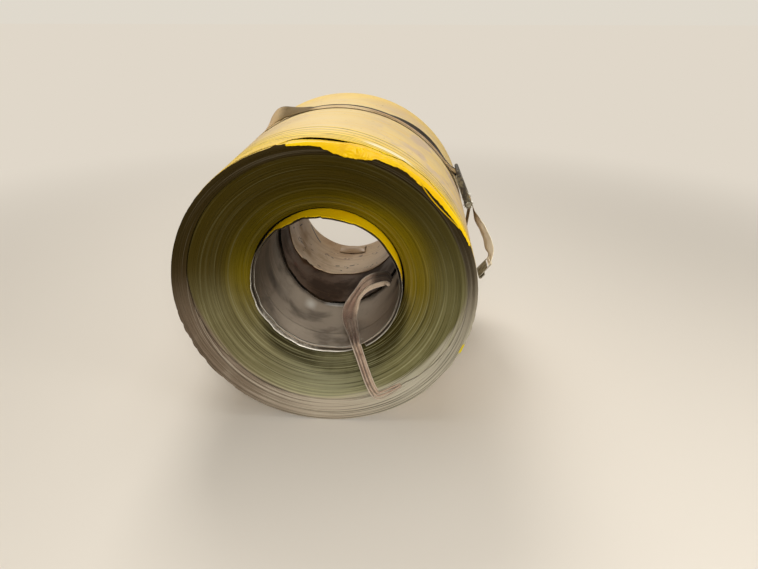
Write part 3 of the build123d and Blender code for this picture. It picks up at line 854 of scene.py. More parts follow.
def coil_shape(angle, radius, along, number):
    """Uneven turns: the face ripples, a ring wanders in and out, and the loose turns are drawn in."""
    if number < FACE_COUNT:
        ring_reach = 0.085 if radius < RING_RADIUS else 0.045
        near_line = exp(-((radius - RING_RADIUS) / ring_reach) ** 2) * min((OUTER - radius) / 0.035, 1.0)
        moved = (eased(RING_LINE, angle) - RING_RADIUS) * near_line
        if rim_count <= number < rim_count + len(RING_POINTS):
            along = RING_DEEP + (along - RING_DEEP) * eased(RING_DEPTH, angle)
        moved -= chipped(angle) * exp(-(OUTER - radius) / 0.012)
        moved += 0.0006 * ring_noise(angle, 1.8, number * 0.13)
        return radius + moved, along + 0.0014 * ring_noise(angle, 1.6, (number // 3) * 0.55)
    if radius < DISH_RADIUS - 0.004:
        if abs(along - BORE_STEP) < 0.0001:
            along += eased(STEP_SHIFT, angle)
        return radius - drawn_in(angle, along) + 0.0012 * ring_noise(angle, 1.2, 4.0), along
    if radius > OUTER - 0.002:
        radius -= chipped(angle) * exp(-(along - NEAR_RIM) / 0.007)
        calm = min(abs(along - STRAP_PLACE) / 0.25, 1.0)
        return radius - 0.0009 * calm * (1 + ring_noise(angle, 2.2, along * 1.5)), along
    return radius, along


coil_turns = turned("coil_turns", profile, 360, coil_shape,
                    [turn_edges, dusty_paint, galvanised, brown_bore, rim_edges, painted_gap_shade])
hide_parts("coil")

# %% [markdown]
# The loose edges are thin sheets. A sheet starts as a flat grid of one square metre, and a
# helper bends it: each grid point has a place along and across, both from 0 to 1, and a
# function puts it where it belongs. The flat size goes into a UV map in metres first, so a
# pattern on the sheet bends with it. Solidify gives the sheet its thickness at the end.


# %% A helper that bends a sheet
def bent_sheet(name, steps, flat, place, side, thickness, materials, closed=False, offset=-1.0):
    """place(u, v) gives each point, and side(point) gives the way that the first material faces."""
    bm = bmesh.new()
    flat_map = bm.loops.layers.uv.new("flat")
    bmesh.ops.create_grid(bm, x_segments=steps[0], y_segments=steps[1], size=0.5)
    for face in bm.faces:
        for loop in face.loops:
            loop[flat_map].uv = ((loop.vert.co.x + 0.5) * flat[0], loop.vert.co.y * flat[1])
    for vertex in bm.verts:
        vertex.co = place(vertex.co.x + 0.5, vertex.co.y + 0.5)
    if closed:
        bmesh.ops.remove_doubles(bm, verts=bm.verts, dist=0.0001)
    bm.normal_update()
    if sum(face.normal.dot(side(face.calc_center_median())) * face.calc_area() for face in bm.faces) < 0:
        bmesh.ops.reverse_faces(bm, faces=bm.faces)
    made = finished(name, bm, materials, sharp=50.0)
    wall = made.modifiers.new("thickness", "SOLIDIFY")
    wall.thickness = thickness
    wall.offset = offset
    wall.use_even_offset = False
    wall.material_offset = min(len(materials) - 1, 1)
    wall.material_offset_rim = len(materials) - 1
    return made


def full_turn(u):
    """The angle at a share of the way round, from the bottom clockwise back to the bottom."""
    return 360 * u - 180


print("a round sheet starts at", full_turn(0.0), "and ends at", full_turn(1.0), "degrees")

# %% [markdown]
# The outermost lap covers the coil's outside up to the rim on most of the round. On top it
# is torn back, and its edge has sprung up a few millimetres, which leaves a black gap. Its
# underside has the painted shade of the gaps between turns.

# %% Outer lap
LAP_BACK = [(-180, 0.017), (-60, 0.016), (-25, 0.018), (-14, 0.028), (-9, 0.060), (-6, 0.054), (-3, 0.044),
            (0, 0.038), (4, 0.030), (8, 0.028), (12, 0.046), (16, 0.052), (20, 0.044), (23, 0.036),
            (27, 0.052), (30.5, 0.074), (33, 0.064), (36, 0.058), (41, 0.060), (44, 0.036), (47, 0.022),
            (52, 0.018), (180, 0.017)]
LAP_LIFT = [(-40, 0.0002), (-12, 0.0006), (-8, 0.0030), (-3, 0.0070), (4, 0.0075), (8, 0.0060), (12, 0.0014),
            (20, 0.0006), (30, 0.0014), (40, 0.0008), (50, 0.0003), (80, 0.0002)]
LAP_END = 0.128
TORN_MIDDLE, TORN_HALF = 10, 50


def lap_place(u, v):
    """A point of the outer lap, from its torn edge back to the next lap."""
    angle = full_turn(u)
    ragged = 0.0018 * ring_noise(angle, 9.0, 1.0)
    if abs(angle - TORN_MIDDLE) < TORN_HALF:
        ragged += 0.0045 * abs(ring_noise(angle, 22.0, 2.0))
    start = eased(LAP_BACK, angle) + ragged
    back = start + (LAP_END - start) * v
    lift = eased(LAP_LIFT, angle) * exp(-(back - start) / 0.022)
    ripple = 0.0005 * ring_noise(angle, 5.0, back * 9.0)
    dent = chipped(angle) * exp(-back / 0.007)
    return around(OUTER - 0.0004 + lift + ripple * (1 - v) - dent, angle, NEAR_RIM + back)


outer_lap = bent_sheet("outer_lap", (360, 14), (2 * pi * OUTER, 0.10), lap_place, away, SHEET,
                       [dusty_paint, painted_gap_shade, dusty_paint], closed=True)

# %% [markdown]
# Where the lap is torn, a strip of clean bright paint shows, and its own near edge has been
# bent over the rim as the coil was handled. It hangs down the face in uneven tongues, crumpled
# near the top, so its length is a list round the rim, with noise for the creases.

# %% Torn flap over the rim
FLAP_FROM, FLAP_TO = -10.5, 68.0
FLAP_HANG = [(-10.5, 0.002), (-9, 0.005), (-3, 0.009), (1, 0.014), (2.7, 0.023), (7, 0.035), (10.3, 0.040),
             (13.5, 0.039), (17, 0.033), (19.1, 0.028), (20.9, 0.015), (25.4, 0.015), (29.5, 0.010),
             (31.8, 0.009), (35.8, 0.013), (38.8, 0.018), (41, 0.012), (46, 0.015), (51, 0.014),
             (55.5, 0.012), (59.8, 0.007), (62, 0.004), (68, 0.001)]
FLAP_ON_TOP = 0.090
FLAP_BEND = 0.004
FLAP_RADIUS = OUTER - 0.0006
BEND_RUN = FLAP_BEND * pi / 2
NEAR_BEND = 0.002
CREASE_MIDDLE, CREASE_HALF = 15, 8


def flap_run(v, hang):
    """How far down the flap a share of its grid rows lies: most rows are at the bend and below it."""
    if v < 0.40:
        return (FLAP_ON_TOP - NEAR_BEND) * v / 0.40
    if v < 0.65:
        return FLAP_ON_TOP - NEAR_BEND + (NEAR_BEND + BEND_RUN) * (v - 0.40) / 0.25
    return FLAP_ON_TOP + BEND_RUN + max(hang, 0.001) * (v - 0.65) / 0.35


def flap_place(u, v):
    """A point of the flap: level on the coil, round the rim, and down in front of the face."""
    angle = FLAP_FROM + (FLAP_TO - FLAP_FROM) * u
    hang = eased(FLAP_HANG, angle)
    hang += 0.0030 * abs(ring_noise(angle, 30.0, 5.0)) + 0.0015 * ring_noise(angle, 60.0, 6.0)
    run = flap_run(v, hang)
    crease = exp(-((angle - CREASE_MIDDLE) / CREASE_HALF) ** 2)
    rough = noise.noise(Vector((angle * 0.45, run * 60, 3.0))) * (0.0008 + 0.0048 * crease)
    if run < FLAP_ON_TOP:
        back = FLAP_ON_TOP - run
        tucked = min(max((back - eased(LAP_BACK, angle) + 0.010) / 0.008, 0.0), 1.0)
        lifted = abs(rough) * max(1 - back / 0.03, 0.0) - 0.0010 * tucked
        return around(FLAP_RADIUS + lifted, angle, NEAR_RIM + back)
    turn = min((run - FLAP_ON_TOP) / FLAP_BEND, pi / 2)
    down = max(run - FLAP_ON_TOP - BEND_RUN, 0.0)
    stand = 0.006 * crease * min(down / 0.02, 1.0) + abs(rough) * min(down / 0.006, 1.0)
    radius = FLAP_RADIUS - FLAP_BEND * (1 - cos(turn)) - down + 0.4 * rough
    return around(radius, angle, NEAR_RIM - FLAP_BEND * sin(turn) - stand)


torn_flap = bent_sheet("torn_flap", (300, 40), (0.93, 0.13), flap_place, away, 0.0008,
                       [clean_paint, galvanised, painted_gap_shade])
# Where the flap is tucked under the lap it takes the painted shade of the gaps, and so do its rims.
for face in torn_flap.data.polygons:
    if face.center.y - NEAR_RIM > eased(LAP_BACK, angle_of(face.center)) + 0.002:
        face.material_index = 2

# %% [markdown]
# One thin turn has peeled off the face near the upper right of the rim. It is the same kind
# of sheet, only very narrow, and bows out between its two held ends, so a sine gives its bow.

# %% Turn that peels off the face
PEEL_FROM, PEEL_SPAN = 38, 22.5
PEEL_RADIUS = 0.622
PEEL_WIDTH = 0.0055


def peel_place(u, v):
    """A point of the thin strip that stands off the face."""
    bow = sin(pi * u ** 0.85)
    radius = PEEL_RADIUS - 0.0195 * bow + PEEL_WIDTH * (v - 0.5)
    stand = 0.012 * bow + 0.002 * (v - 0.5)
    return around(radius, PEEL_FROM + PEEL_SPAN * u, NEAR_RIM + slid(radius) - 0.0025 - stand)


def forwards(point):
    """Towards the near end."""
    return Vector((0, -1, 0))


peeled_turn = bent_sheet("peeled_turn", (90, 4), (0.30, 0.011), peel_place, forwards, 0.0008,
                         [clean_paint, galvanised])

# %% [markdown]
# Two loose turns stand out of the face round the bore. The outer one is yellow on its
# outside and bare inside, with a torn, flared edge. The inner one is a few millimetres
# smaller and ends deeper, so a dark line shows between them.

# %% Edges of the loose turns
EDGE_PLACES = [(-180, -0.533), (-156, -0.536), (-150, -0.530), (-131, -0.534), (-127, -0.528), (-108, -0.535),
               (-104, -0.528), (-92, -0.536), (-88, -0.530), (-60, -0.535), (-42, -0.541), (-37, -0.534),
               (-34.5, -0.552), (-29, -0.583), (-26, -0.573), (-22, -0.580), (-18.6, -0.562), (-14, -0.549),
               (-11, -0.560), (-4, -0.566), (-1.6, -0.557), (0.5, -0.572), (14, -0.577), (19.5, -0.574),
               (25, -0.562), (43, -0.556), (57, -0.572), (68, -0.563), (80, -0.566), (105, -0.545),
               (128, -0.536), (149, -0.538), (151, -0.500), (158, -0.498), (160, -0.530), (176, -0.533),
               (180, -0.533)]
SPREAD = [(-60, 0.0), (-30, 0.0012), (-12, 0.0040), (60, 0.0040), (95, 0.0)]
FLARE = [(-180, 0.007), (-150, 0.009), (-110, 0.007), (-80, 0.004), (-50, 0.001), (0, 0.0), (60, 0.001),
         (100, 0.004), (140, 0.006), (149, 0.005), (160, 0.003), (180, 0.007)]
INNER_RADIUS = 0.3184
INNER_DEEPER = 0.017


def outer_turn_place(u, v):
    """A point of the outer loose turn, from its torn edge into the gap."""
    angle = full_turn(u)
    edge = eased(EDGE_PLACES, angle) + 0.0016 * ring_noise(angle, 16.0, 7.0)
    along = edge + (GAP_FLOOR + 0.004 - edge) * v
    reach = exp(-(along - edge) / 0.014)
    ripple = 0.0015 * ring_noise(angle, 7.0, 8.0) * reach
    radius = COLLAR_OUTSIDE + eased(SPREAD, angle) - drawn_in(angle, along)
    return around(radius + eased(FLARE, angle) * reach + ripple, angle, along)


def inner_turn_place(u, v):
    """A point of the inner loose turn, which runs from its edge a short way into the bore."""
    angle = full_turn(u)
    edge = eased(EDGE_PLACES, angle) + INNER_DEEPER + 0.0020 * ring_noise(angle, 12.0, 9.0)
    along = edge + (COLLAR_NEAR + 0.15 - edge) * v
    free = 1 - v
    radius = INNER_RADIUS - drawn_in(angle, along) - 0.0022 * free
    return around(radius + 0.0010 * ring_noise(angle, 4.0, 10.0) * free, angle, along)


outer_turn = bent_sheet("outer_loose_turn", (360, 18), (2.04, OUTER_TURN_DEPTH), outer_turn_place, away,
                        SHEET, [clean_paint, outer_inside, edge_metal], closed=True)
inner_turn = bent_sheet("inner_loose_turn", (300, 14), (2.0, INNER_TURN_DEPTH), inner_turn_place, away,
                        SHEET, [galvanised, inner_inside, edge_metal], closed=True)

# %% [markdown]
# The far half of the bore is lined by a cream sheet, the back of a turn that slid in. Its
# near edge is wavy, with a curl on the left, and a tab is torn up at its far end.

# %% Cream sheet in the bore
CREAM_EDGE = [(-180, 0.264), (-157, 0.233), (-145, 0.221), (-134, 0.213), (-131, 0.206), (-117, 0.210),
              (-98, 0.226), (-60, 0.240), (0, 0.250), (90, 0.250), (148, 0.253), (164, 0.256), (180, 0.264)]
CREAM_FAR = COLLAR_FAR - 0.004
CURL_ANGLE, CURL_HALF, CURL_HEIGHT = -133, 3.2, 0.010


def inwards(point):
    """Towards the bore's axis."""
    return -away(point)


def cream_place(u, v):
    """A point of the cream sheet, from its wavy near edge to the far end."""
    angle = full_turn(u)
    edge = eased(CREAM_EDGE, angle) + 0.0015 * ring_noise(angle, 10.0, 11.0)
    along = edge + (CREAM_FAR - edge) * v
    curl = bumps([(CURL_ANGLE, CURL_HALF, CURL_HEIGHT)], angle) * exp(-(along - edge) / 0.012)
    wave = 0.0012 * (1 + ring_noise(angle, 3.0, along * 3.0)) + 0.0020 * exp(-(along - edge) / 0.02)
    return around(BORE - 0.0008 - wave - curl, angle, along)


cream_turn = bent_sheet("cream_turn", (240, 20), (1.9, 0.44), cream_place, inwards, SHEET,
                        [cream_sheet, brown_bore], closed=True)

# %% Torn tab
TAB_FROM, TAB_SPAN = -196, 30
TAB_NEAR, TAB_LENGTH = 0.556, 0.110
TAB_RISE = 0.026


def tab_place(u, v):
    """A point of the tab at the far end, torn on three sides and rolled up towards the axis."""
    rolled_up = sin(pi * min(v * 1.15, 1.0)) * (0.35 + 0.65 * sin(pi * u))
    return around(BORE - 0.007 - TAB_RISE * rolled_up, TAB_FROM + TAB_SPAN * u, TAB_NEAR + TAB_LENGTH * v)


torn_tab = bent_sheet("torn_tab", (34, 14), (0.18, 0.11), tab_place, inwards, 0.0010,
                      [cream_sheet, brown_bore])

# %% [markdown]
# Both straps are wide polyester webbing: ribs run along it, crossed by finer picks, and the
# fibres are fuzzy and dusty. The weave is drawn on the flat UV map, so it follows each bend,
# and its low places are painted darker as shade. Cloth also needs a soft sheen, which the
# shader has a socket for. Long stripes of darker or paler cloth, of painted shadow and shade
# and of painted light are laid on one by one, because they belong to certain stretches.


# %% Finish of the webbing
STRIPE_FADE = 0.03
SELVAGE_FROM, SELVAGE_TO = 0.042, 0.047


def webbing(name, tints, dust_scale, dust_range, stripes, stripes_from=-1.0):
    """A webbing material. Each stripe is (x from, x to, across, half width, strength, colour), past a y."""
    clean, dusty, dark, selvage = tints
    made, tree, shader, place = open_material(name, roughness=0.85, Sheen_Weight=0.08, Sheen_Roughness=0.5,
                                              Specular_IOR_Level=0.1)
    flat = add(tree, "UVMap", uv_map="flat").outputs[0]
    cloth = use(tree, weave, flat, Rib=0.0048, Pick=0.0030)
    low, high = dust_range
    dust = use(tree, patches, place, Scale=dust_scale, Low=low, High=high, Detail=7.0)["Mask"]
    stain = use(tree, patches, place, Scale=dust_scale * 3.1, Low=0.56, High=0.70, Detail=5.0)["Mask"]
    across = axes(tree, flat)[1]
    x, y, z = axes(tree, place)
    edge = between(tree, sums(tree, "ABSOLUTE", across), SELVAGE_FROM, SELVAGE_TO)
    color = blend(tree, dust, clean, dusty)
    color = layer(tree, color, stain, 0.6, dark)
    # The edges take their own tint; on the tie it is painted shadow along both edges.
    color = layer(tree, color, edge, 0.8, selvage)
    fuzzy = blend(tree, 0.35, color, dusty)
    color = blend(tree, between(tree, cloth["Shade"], 0.30, 0.75), color, fuzzy)
    # The low places of the weave are painted darker, as shade.
    color = layer(tree, color, between(tree, cloth["Height"], 0.55, 0.10), 0.45, dark)
    for start, end, middle, half, strength, shade in stripes:
        inside = product(tree, between(tree, x, start - STRIPE_FADE, start + STRIPE_FADE),
                         between(tree, x, end + STRIPE_FADE, end - STRIPE_FADE),
                         between(tree, y, stripes_from - STRIPE_FADE, stripes_from + STRIPE_FADE))
        beside = band(tree, across, middle, half * 1.15, half * 0.85)
        color = layer(tree, color, product(tree, inside, beside), strength, shade)
    finish_surface(tree, shader, color, None, cloth["Height"], 0.0009)
    return made


# Each set of tints is: clean, dusty, dark, and the edges'. The tie's dark edges are painted shadow.
TIE_TINTS = (tint(178, 142, 80), tint(198, 170, 126), tint(62, 48, 26), tint(44, 34, 18))
# Of the tie's stripes, the first darkens the right half of the slack fold, the second is painted light on its
# left half, the two near-black ones are painted shadow along the far edge, and the last is painted light on
# the tail.
TIE_STRIPES = (
    (-0.29, -0.13, 0.0, 0.060, 0.80, tint(88, 68, 28)),
    (-0.44, -0.31, 0.0, 0.060, 0.60, tint(222, 186, 134)),
    (-0.16, 0.10, 0.040, 0.012, 0.95, tint(22, 16, 8)),
    (0.06, 0.58, 0.035, 0.017, 0.95, tint(22, 16, 8)),
    (0.02, 0.56, -0.014, 0.005, 0.60, tint(70, 52, 30)),
    (0.14, 0.50, 0.006, 0.012, 0.40, tint(210, 166, 124)),
    (-0.12, 0.14, -0.012, 0.030, 0.55, tint(238, 208, 154)),
    (0.70, 0.90, 0.0, 0.060, 0.95, tint(255, 242, 214)),
)
BORE_TINTS = (tint(156, 126, 106), tint(192, 168, 144), tint(92, 60, 44), tint(206, 190, 168))
# The first stripe in the bore is painted shade on the dark face of the arch.
BORE_STRIPES = (
    (0.17, 0.40, -0.016, 0.038, 0.85, tint(34, 26, 18)),
    (0.10, 0.40, 0.036, 0.014, 0.60, tint(226, 202, 172)),
)
tie_webbing = webbing("tie_webbing", TIE_TINTS, 7.0, (0.40, 0.64), TIE_STRIPES)
bore_webbing = webbing("bore_webbing", BORE_TINTS, 9.0, (0.38, 0.62), BORE_STRIPES, stripes_from=-0.30)

# %% [markdown]
# The tie's route is drawn in the side view, as one line from its sewn eye on the bolt,
# round the coil with a slack fold on the left, on to the spool and out of it to the hook.
# Corner cutting turns a few chosen points into a smooth line, and a helper then walks along
# the line in even steps, so that the weave isn't stretched anywhere.


# %% Helpers for routes
def rounded(points, rounds=4):
    """Cuts the corners of a line again and again, which leaves a smooth curve with the same ends."""
    for turn in range(rounds):
        cut = [points[0]]
        for before, after in zip(points, points[1:]):
            cut += [before.lerp(after, 0.25), before.lerp(after, 0.75)]
        points = cut + [points[-1]]
    return points


def line_length(points):
    """The length of a line of points."""
    return sum((after - before).length for before, after in zip(points, points[1:]))


def evenly(points, count):
    """Walks along a line and gives count + 1 points at equal distances, and the line's length."""
    lengths = [0.0]
    for before, after in zip(points, points[1:]):
        lengths.append(lengths[-1] + (after - before).length)
    found, piece = [], 0
    for step in range(count + 1):
        goal = lengths[-1] * step / count
        while piece < len(points) - 2 and lengths[piece + 1] < goal:
            piece += 1
        span = lengths[piece + 1] - lengths[piece]
        share = (goal - lengths[piece]) / span if span > 0 else 0.0
        found.append(points[piece].lerp(points[piece + 1], min(max(share, 0.0), 1.0)))
    return found, lengths[-1]


def arc(middle, radius, start, end, step=3.0):
    """Points round a middle, from one angle to another, both clockwise from the top."""
    count = max(int(abs(end - start) / step), 2)
    angles = [start + (end - start) * number / count for number in range(count + 1)]
    return [middle + around(radius, angle, 0.0) for angle in angles]


print("a half circle of radius 1 measures", round(line_length(arc(Vector(), 1.0, 0, 180)), 3))

# %% [markdown]
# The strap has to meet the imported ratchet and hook, so their places are worked out from the
# coil's radius and the ratchet's angle, just as in the solid model: the bolt above, the
# spool below, and the hook further round, standing off the coil.

# %% Places of the ratchet and the hook, as in the solid model
AXIS = Vector((0, 0, 0))
RATCHET_ANGLE = 69.0
RATCHET_MIDDLE = around(OUTER + 0.002, RATCHET_ANGLE, 0.0)
ALONG_RATCHET = around(1.0, RATCHET_ANGLE + 90, 0.0)
OUT_OF_RATCHET = around(1.0, RATCHET_ANGLE, 0.0)
BOLT = RATCHET_MIDDLE - 0.078 * ALONG_RATCHET + 0.014 * OUT_OF_RATCHET
SPOOL = RATCHET_MIDDLE + 0.072 * ALONG_RATCHET + 0.022 * OUT_OF_RATCHET
HOOK_SLOPE = 219.0
HOOK_LOOP = 0.0042
WEB = 0.0027  # from one layer of webbing to the next
BAND = OUTER - 0.0015  # where the strap's middle runs on the coil
EYE = 0.0078  # radius of the eye sewn round the bolt
SLACK = [(-12, 0.0), (-19, 0.020), (-26, 0.060), (-31.5, 0.036), (-36.5, 0.0)]


def past_ratchet(along, height):
    """A point by its length round the coil past the ratchet and its height off the coil."""
    return around(OUTER + height, RATCHET_ANGLE + degrees(along / OUTER), 0.0)


HOOK_END = past_ratchet(0.366, 0.1625)
HOOK_ALONG = around(1.0, HOOK_SLOPE, 0.0)
HOOK_UP = around(1.0, HOOK_SLOPE - 90, 0.0)
print("bolt", [round(part, 3) for part in BOLT], "spool", [round(part, 3) for part in SPOOL])

# %% [markdown]
# The route is put together in the order in which someone would thread the strap: the eye
# sewn round the bolt, the long way round the coil, the turns on the spool, and the tail with
# its loop through the hook. Each stretch starts where the last one ends.

# %% The tie's route: the eye on the bolt, and round the coil
leaves_at = angle_of(BOLT) - degrees(acos((BAND + EYE) / BOLT.length))
bolt_inside = BOLT - around(EYE, leaves_at, 0.0)
down_band = (around(BAND, leaves_at, 0.0) - bolt_inside).normalized()
band_up = around(1.0, leaves_at, 0.0)
SEWN_STOPS = ((0.082, WEB), (0.040, WEB), (0.016, 2 * EYE), (0.0, 2 * EYE))
route = rounded([bolt_inside + along * down_band + up * band_up for along, up in SEWN_STOPS])
route += arc(BOLT, EYE, leaves_at + 8, leaves_at + 178, 15.0)
route += arc(AXIS, BAND, leaves_at, SLACK[0][0], 1.0)
route += rounded([around(BAND + lift, angle, 0.0) for angle, lift in SLACK])[1:-1]
print("from the bolt to the slack fold's end:", round(line_length(route), 3), "m")

# %% The tie's route: on to the spool, through its slot and out again
ROLL_START = 0.0162
PITCH = 2 * WEB
SLOT_HALF = 0.008
SLOT_AT = RATCHET_ANGLE + 90
OUT_AT = 61
returns_at = angle_of(SPOOL) + degrees(acos((BAND - ROLL_START) / SPOOL.length))
in_turn = returns_at - (SLOT_AT - 360)
roll_end = ROLL_START - PITCH * in_turn / 360
out_turn = int(360 + OUT_AT - (SLOT_AT - 180))
route += arc(AXIS, BAND, SLACK[-1][0], returns_at - 360, 1.0)
route += [SPOOL + around(ROLL_START - PITCH * turn / 360, returns_at - turn, 0.0)
          for turn in range(0, int(in_turn), 6)]
route += [SPOOL + around(SLOT_HALF, SLOT_AT, 0.0), SPOOL, SPOOL + around(SLOT_HALF, SLOT_AT + 180, 0.0)]
route += [SPOOL + around(roll_end + PITCH * turn / 360, SLOT_AT - 180 + turn, 0.0)
          for turn in range(0, out_turn, 6)]
before_tail = line_length(route)
print("on the spool:", round((in_turn + out_turn) / 360, 2), "turns")

# %% The tie's route: the tail and its loop on the hook
tail_line = rounded([
    route[-1],
    past_ratchet(0.186, 0.072),
    past_ratchet(0.238, 0.107),
    past_ratchet(0.284, 0.1315),
    past_ratchet(0.324, 0.145),
    HOOK_END - 0.012 * HOOK_ALONG - HOOK_LOOP * HOOK_UP,
    HOOK_END - HOOK_LOOP * HOOK_UP,
])
route += tail_line[1:]
route += [HOOK_END + 0.0065 * HOOK_ALONG + around(HOOK_LOOP, HOOK_SLOPE + 90 - turn, 0.0)
          for turn in range(0, 181, 20)]
sewn_back = [HOOK_END + HOOK_LOOP * HOOK_UP, HOOK_END - 0.016 * HOOK_ALONG + 0.003 * HOOK_UP]
for share in (0.90, 0.84, 0.78, 0.72):
    number = int(share * (len(tail_line) - 1))
    here, ahead = tail_line[number], tail_line[number + 1]
    sewn_back.append(here - WEB * (ahead - here).normalized().cross(Vector((0, 1, 0))))
route += rounded(sewn_back)
TIE_STEPS = 900
tie_line, TIE_LENGTH = evenly(route, TIE_STEPS)
TAIL_FROM = before_tail / TIE_LENGTH
print("tie: route of", round(TIE_LENGTH, 3), "m")

# %% [markdown]
# The tie isn't a perfect ribbon. Its far edge has lifted between the top and the ratchet,
# the slack fold is skewed, and the tail is turned, with its near edge closer to the coil.

# %% Tie
ACROSS = Vector((0, 1, 0))
LIFTED_FROM, LIFTED_TO = 22, 56
TAIL_TOP, TAIL_FREE = 0.145, 0.100
TAIL_BOTTOM, TAIL_HELD = 0.155, 0.06
TAIL_TURN = 0.40
TIE_THICKNESS = 0.0024


def ribbon_frame(line, number):
    """The direction of a line at one of its points, and the direction off the coil."""
    ahead = (line[min(number + 1, len(line) - 1)] - line[max(number - 1, 0)]).normalized()
    return ahead, ahead.cross(ACROSS) * -1


def tie_place(u, v):
    """A point of the tie, from the sewn eye to the sewn loop on the hook."""
    number = int(round(u * TIE_STEPS))
    point = tie_line[number]
    up = ribbon_frame(tie_line, number)[1]
    angle = angle_of(point)
    height = point.length - BAND
    off = STRAP_WIDTH * (v - 0.5)
    rise, turn = 0.0, 0.0
    if height < 0.003:
        if LIFTED_FROM < angle < LIFTED_TO:
            bow = sin(pi * (angle - LIFTED_FROM) / (LIFTED_TO - LIFTED_FROM))
            rise = 0.013 * bow * max((off - 0.01) / 0.04, 0.0) ** 2
        rise += 0.0005 * (1 + noise.noise(Vector((u * 160, v * 3, 0.0))))
    elif SLACK[-1][0] < angle < SLACK[0][0]:
        near = max(1 - v, 0.0) ** 1.3
        rise -= 0.93 * near * max(height - 0.001, 0.0)
        rise += 0.0025 * (1 - near) * noise.noise(Vector((u * 90, v * 2.5, 4.0)))
    if u > TAIL_FROM and point.z < TAIL_TOP:
        held = min(max((point.z + TAIL_BOTTOM) / TAIL_HELD, 0.0), 1.0)
        free = smooth(min((TAIL_TOP - point.z) / TAIL_FREE, 1.0) * held)
        turn = TAIL_TURN * free
        rise += 0.0030 * free * noise.noise(Vector((u * 120, v * 2.5, 8.0))) - 0.004 * free * cos(2 * pi * v)
    return point + ACROSS * (STRAP_PLACE + off * cos(turn)) + up * (off * sin(turn) + rise)


tie = bent_sheet("tie_webbing_strap", (TIE_STEPS, 14), (TIE_LENGTH, STRAP_WIDTH), tie_place, away,
                 TIE_THICKNESS, [tie_webbing], offset=0.0)
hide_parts("ratchet_strap")

# %% [markdown]
# The other strap was left in the bore. Its end lies on the face, and it climbs over the
# edge of the loose turns and runs along their floor to a tall arch on the right. Over most
# of its length it is bunched into lengthwise folds. The folds keep the cloth's full width:
# a helper finds how deep they must be where the strap is squeezed narrow.

# %% Stops of the strap in the bore, as in the solid model
# Each stop is: its angle, how far inside the outside or the wall of the loose turns, how far
# out of the face or into the bore, the way across the strap, and its bunched width.
COLLAR_WALL = BORE + 0.012
END_STOPS = (
    (143.6, 0.082, 0.010, (-0.41, 0.44, 0.91), 0.020),
    (152.4, 0.078, 0.010, (-0.41, 0.44, 0.91), 0.044),
    (158.1, 0.083, 0.017, (0.50, 0.0, 0.87), 0.040),
)
RUN_STOPS = (
    (155.3, -0.006, -0.022, (0.91, 0.0, 0.42), 0.040),
    (156.4, 0.019, 0.010, (0.92, 0.0, 0.40), 0.042),
    (159.5, 0.012, 0.0915, (0.94, 0.0, 0.35), 0.056),
    (164.5, 0.014, 0.2015, (0.96, 0.0, 0.27), 0.074),
    (168.2, 0.022, 0.2965, (1.0, 0.04, 0.0), 0.084),
    (163.8, 0.050, 0.3535, (0.75, -0.60, 0.10), 0.086),
    (152.6, 0.086, 0.3695, (0.34, -0.93, -0.06), 0.084),
    (136.2, 0.106, 0.3715, (0.37, -0.77, -0.52), 0.084),
    (116.8, 0.054, 0.3715, (0.25, -0.72, -0.64), 0.084),
    (118.7, 0.016, 0.3695, (0.10, -0.95, -0.25), 0.084),
)
places = []
for angle, inset, standoff, facing, width in END_STOPS:
    radius = OUTER - inset
    places.append(around(radius, angle, NEAR_RIM + slid(radius) - standoff))
for angle, inset, along, facing, width in RUN_STOPS:
    places.append(around(COLLAR_WALL - inset, angle, COLLAR_NEAR + along))
facings = [Vector(facing) for *place, facing, width in END_STOPS + RUN_STOPS]
widths = [Vector((width, 0, 0)) for *place, facing, width in END_STOPS + RUN_STOPS]
print(len(places), "stops, the widest", max(width.x for width in widths), "m")

# %% Folds of the strap in the bore
FOLDS = 2.5
FOLD_SWAY = 0.0015
BUNCHED = 0.93


def pleat(width, depth, v):
    """A point across the strap: bunched folds that lean over each other."""
    turn = 2 * pi * FOLDS * v
    return width * (v - 0.5) + FOLD_SWAY * sin(2 * turn), depth * cos(turn)


def pleat_length(width, depth):
    """How much cloth the folds take, across the strap."""
    found = [pleat(width, depth, number / 60) for number in range(61)]
    return sum(hypot(b[0] - a[0], b[1] - a[1]) for a, b in zip(found, found[1:]))


def fold_depth(width):
    """The depth of fold at which the cloth is as wide as it was woven."""
    low, high = 0.0, 0.03
    for turn in range(24):
        middle = (low + high) / 2
        if pleat_length(width, middle) < STRAP_WIDTH:
            low = middle
        else:
            high = middle
    return low


print("squeezed to 40 mm, the folds are", round(fold_depth(0.040) * 1000, 1), "mm deep")

# %% Route of the strap in the bore
BORE_STEPS = 260
WIDE_STEPS = 44
BORE_THICKNESS = 0.0022
smooth_places = rounded(places)
smooth_facings = rounded(facings)
smooth_widths = rounded(widths)
bore_line, BORE_LENGTH = evenly(smooth_places, BORE_STEPS)
bore_across, bore_up, bore_widths = [], [], []
for number, point in enumerate(bore_line):
    nearest = min(range(len(smooth_places)), key=lambda index: (smooth_places[index] - point).length)
    ahead = ribbon_frame(bore_line, number)[0]
    facing = smooth_facings[nearest]
    across = (facing - ahead * facing.dot(ahead)).normalized()
    bore_across.append(across)
    bore_up.append(across.cross(ahead).normalized())
    bore_widths.append(smooth_widths[nearest].x * BUNCHED)
depths = [fold_depth(width) for width in bore_widths]
print("strap in the bore:", round(BORE_LENGTH, 3), "m, deepest fold", round(max(depths) * 1000, 1), "mm")


# %% Strap in the bore
def bore_place(u, v):
    """A point of the bunched strap."""
    number = int(round(u * BORE_STEPS))
    x, y = pleat(bore_widths[number], depths[number], v)
    drift = 0.0018 * noise.noise(Vector((u * 14, v * 2.4, 12.0)))
    return bore_line[number] + bore_across[number] * (x + drift) + bore_up[number] * (y + drift)


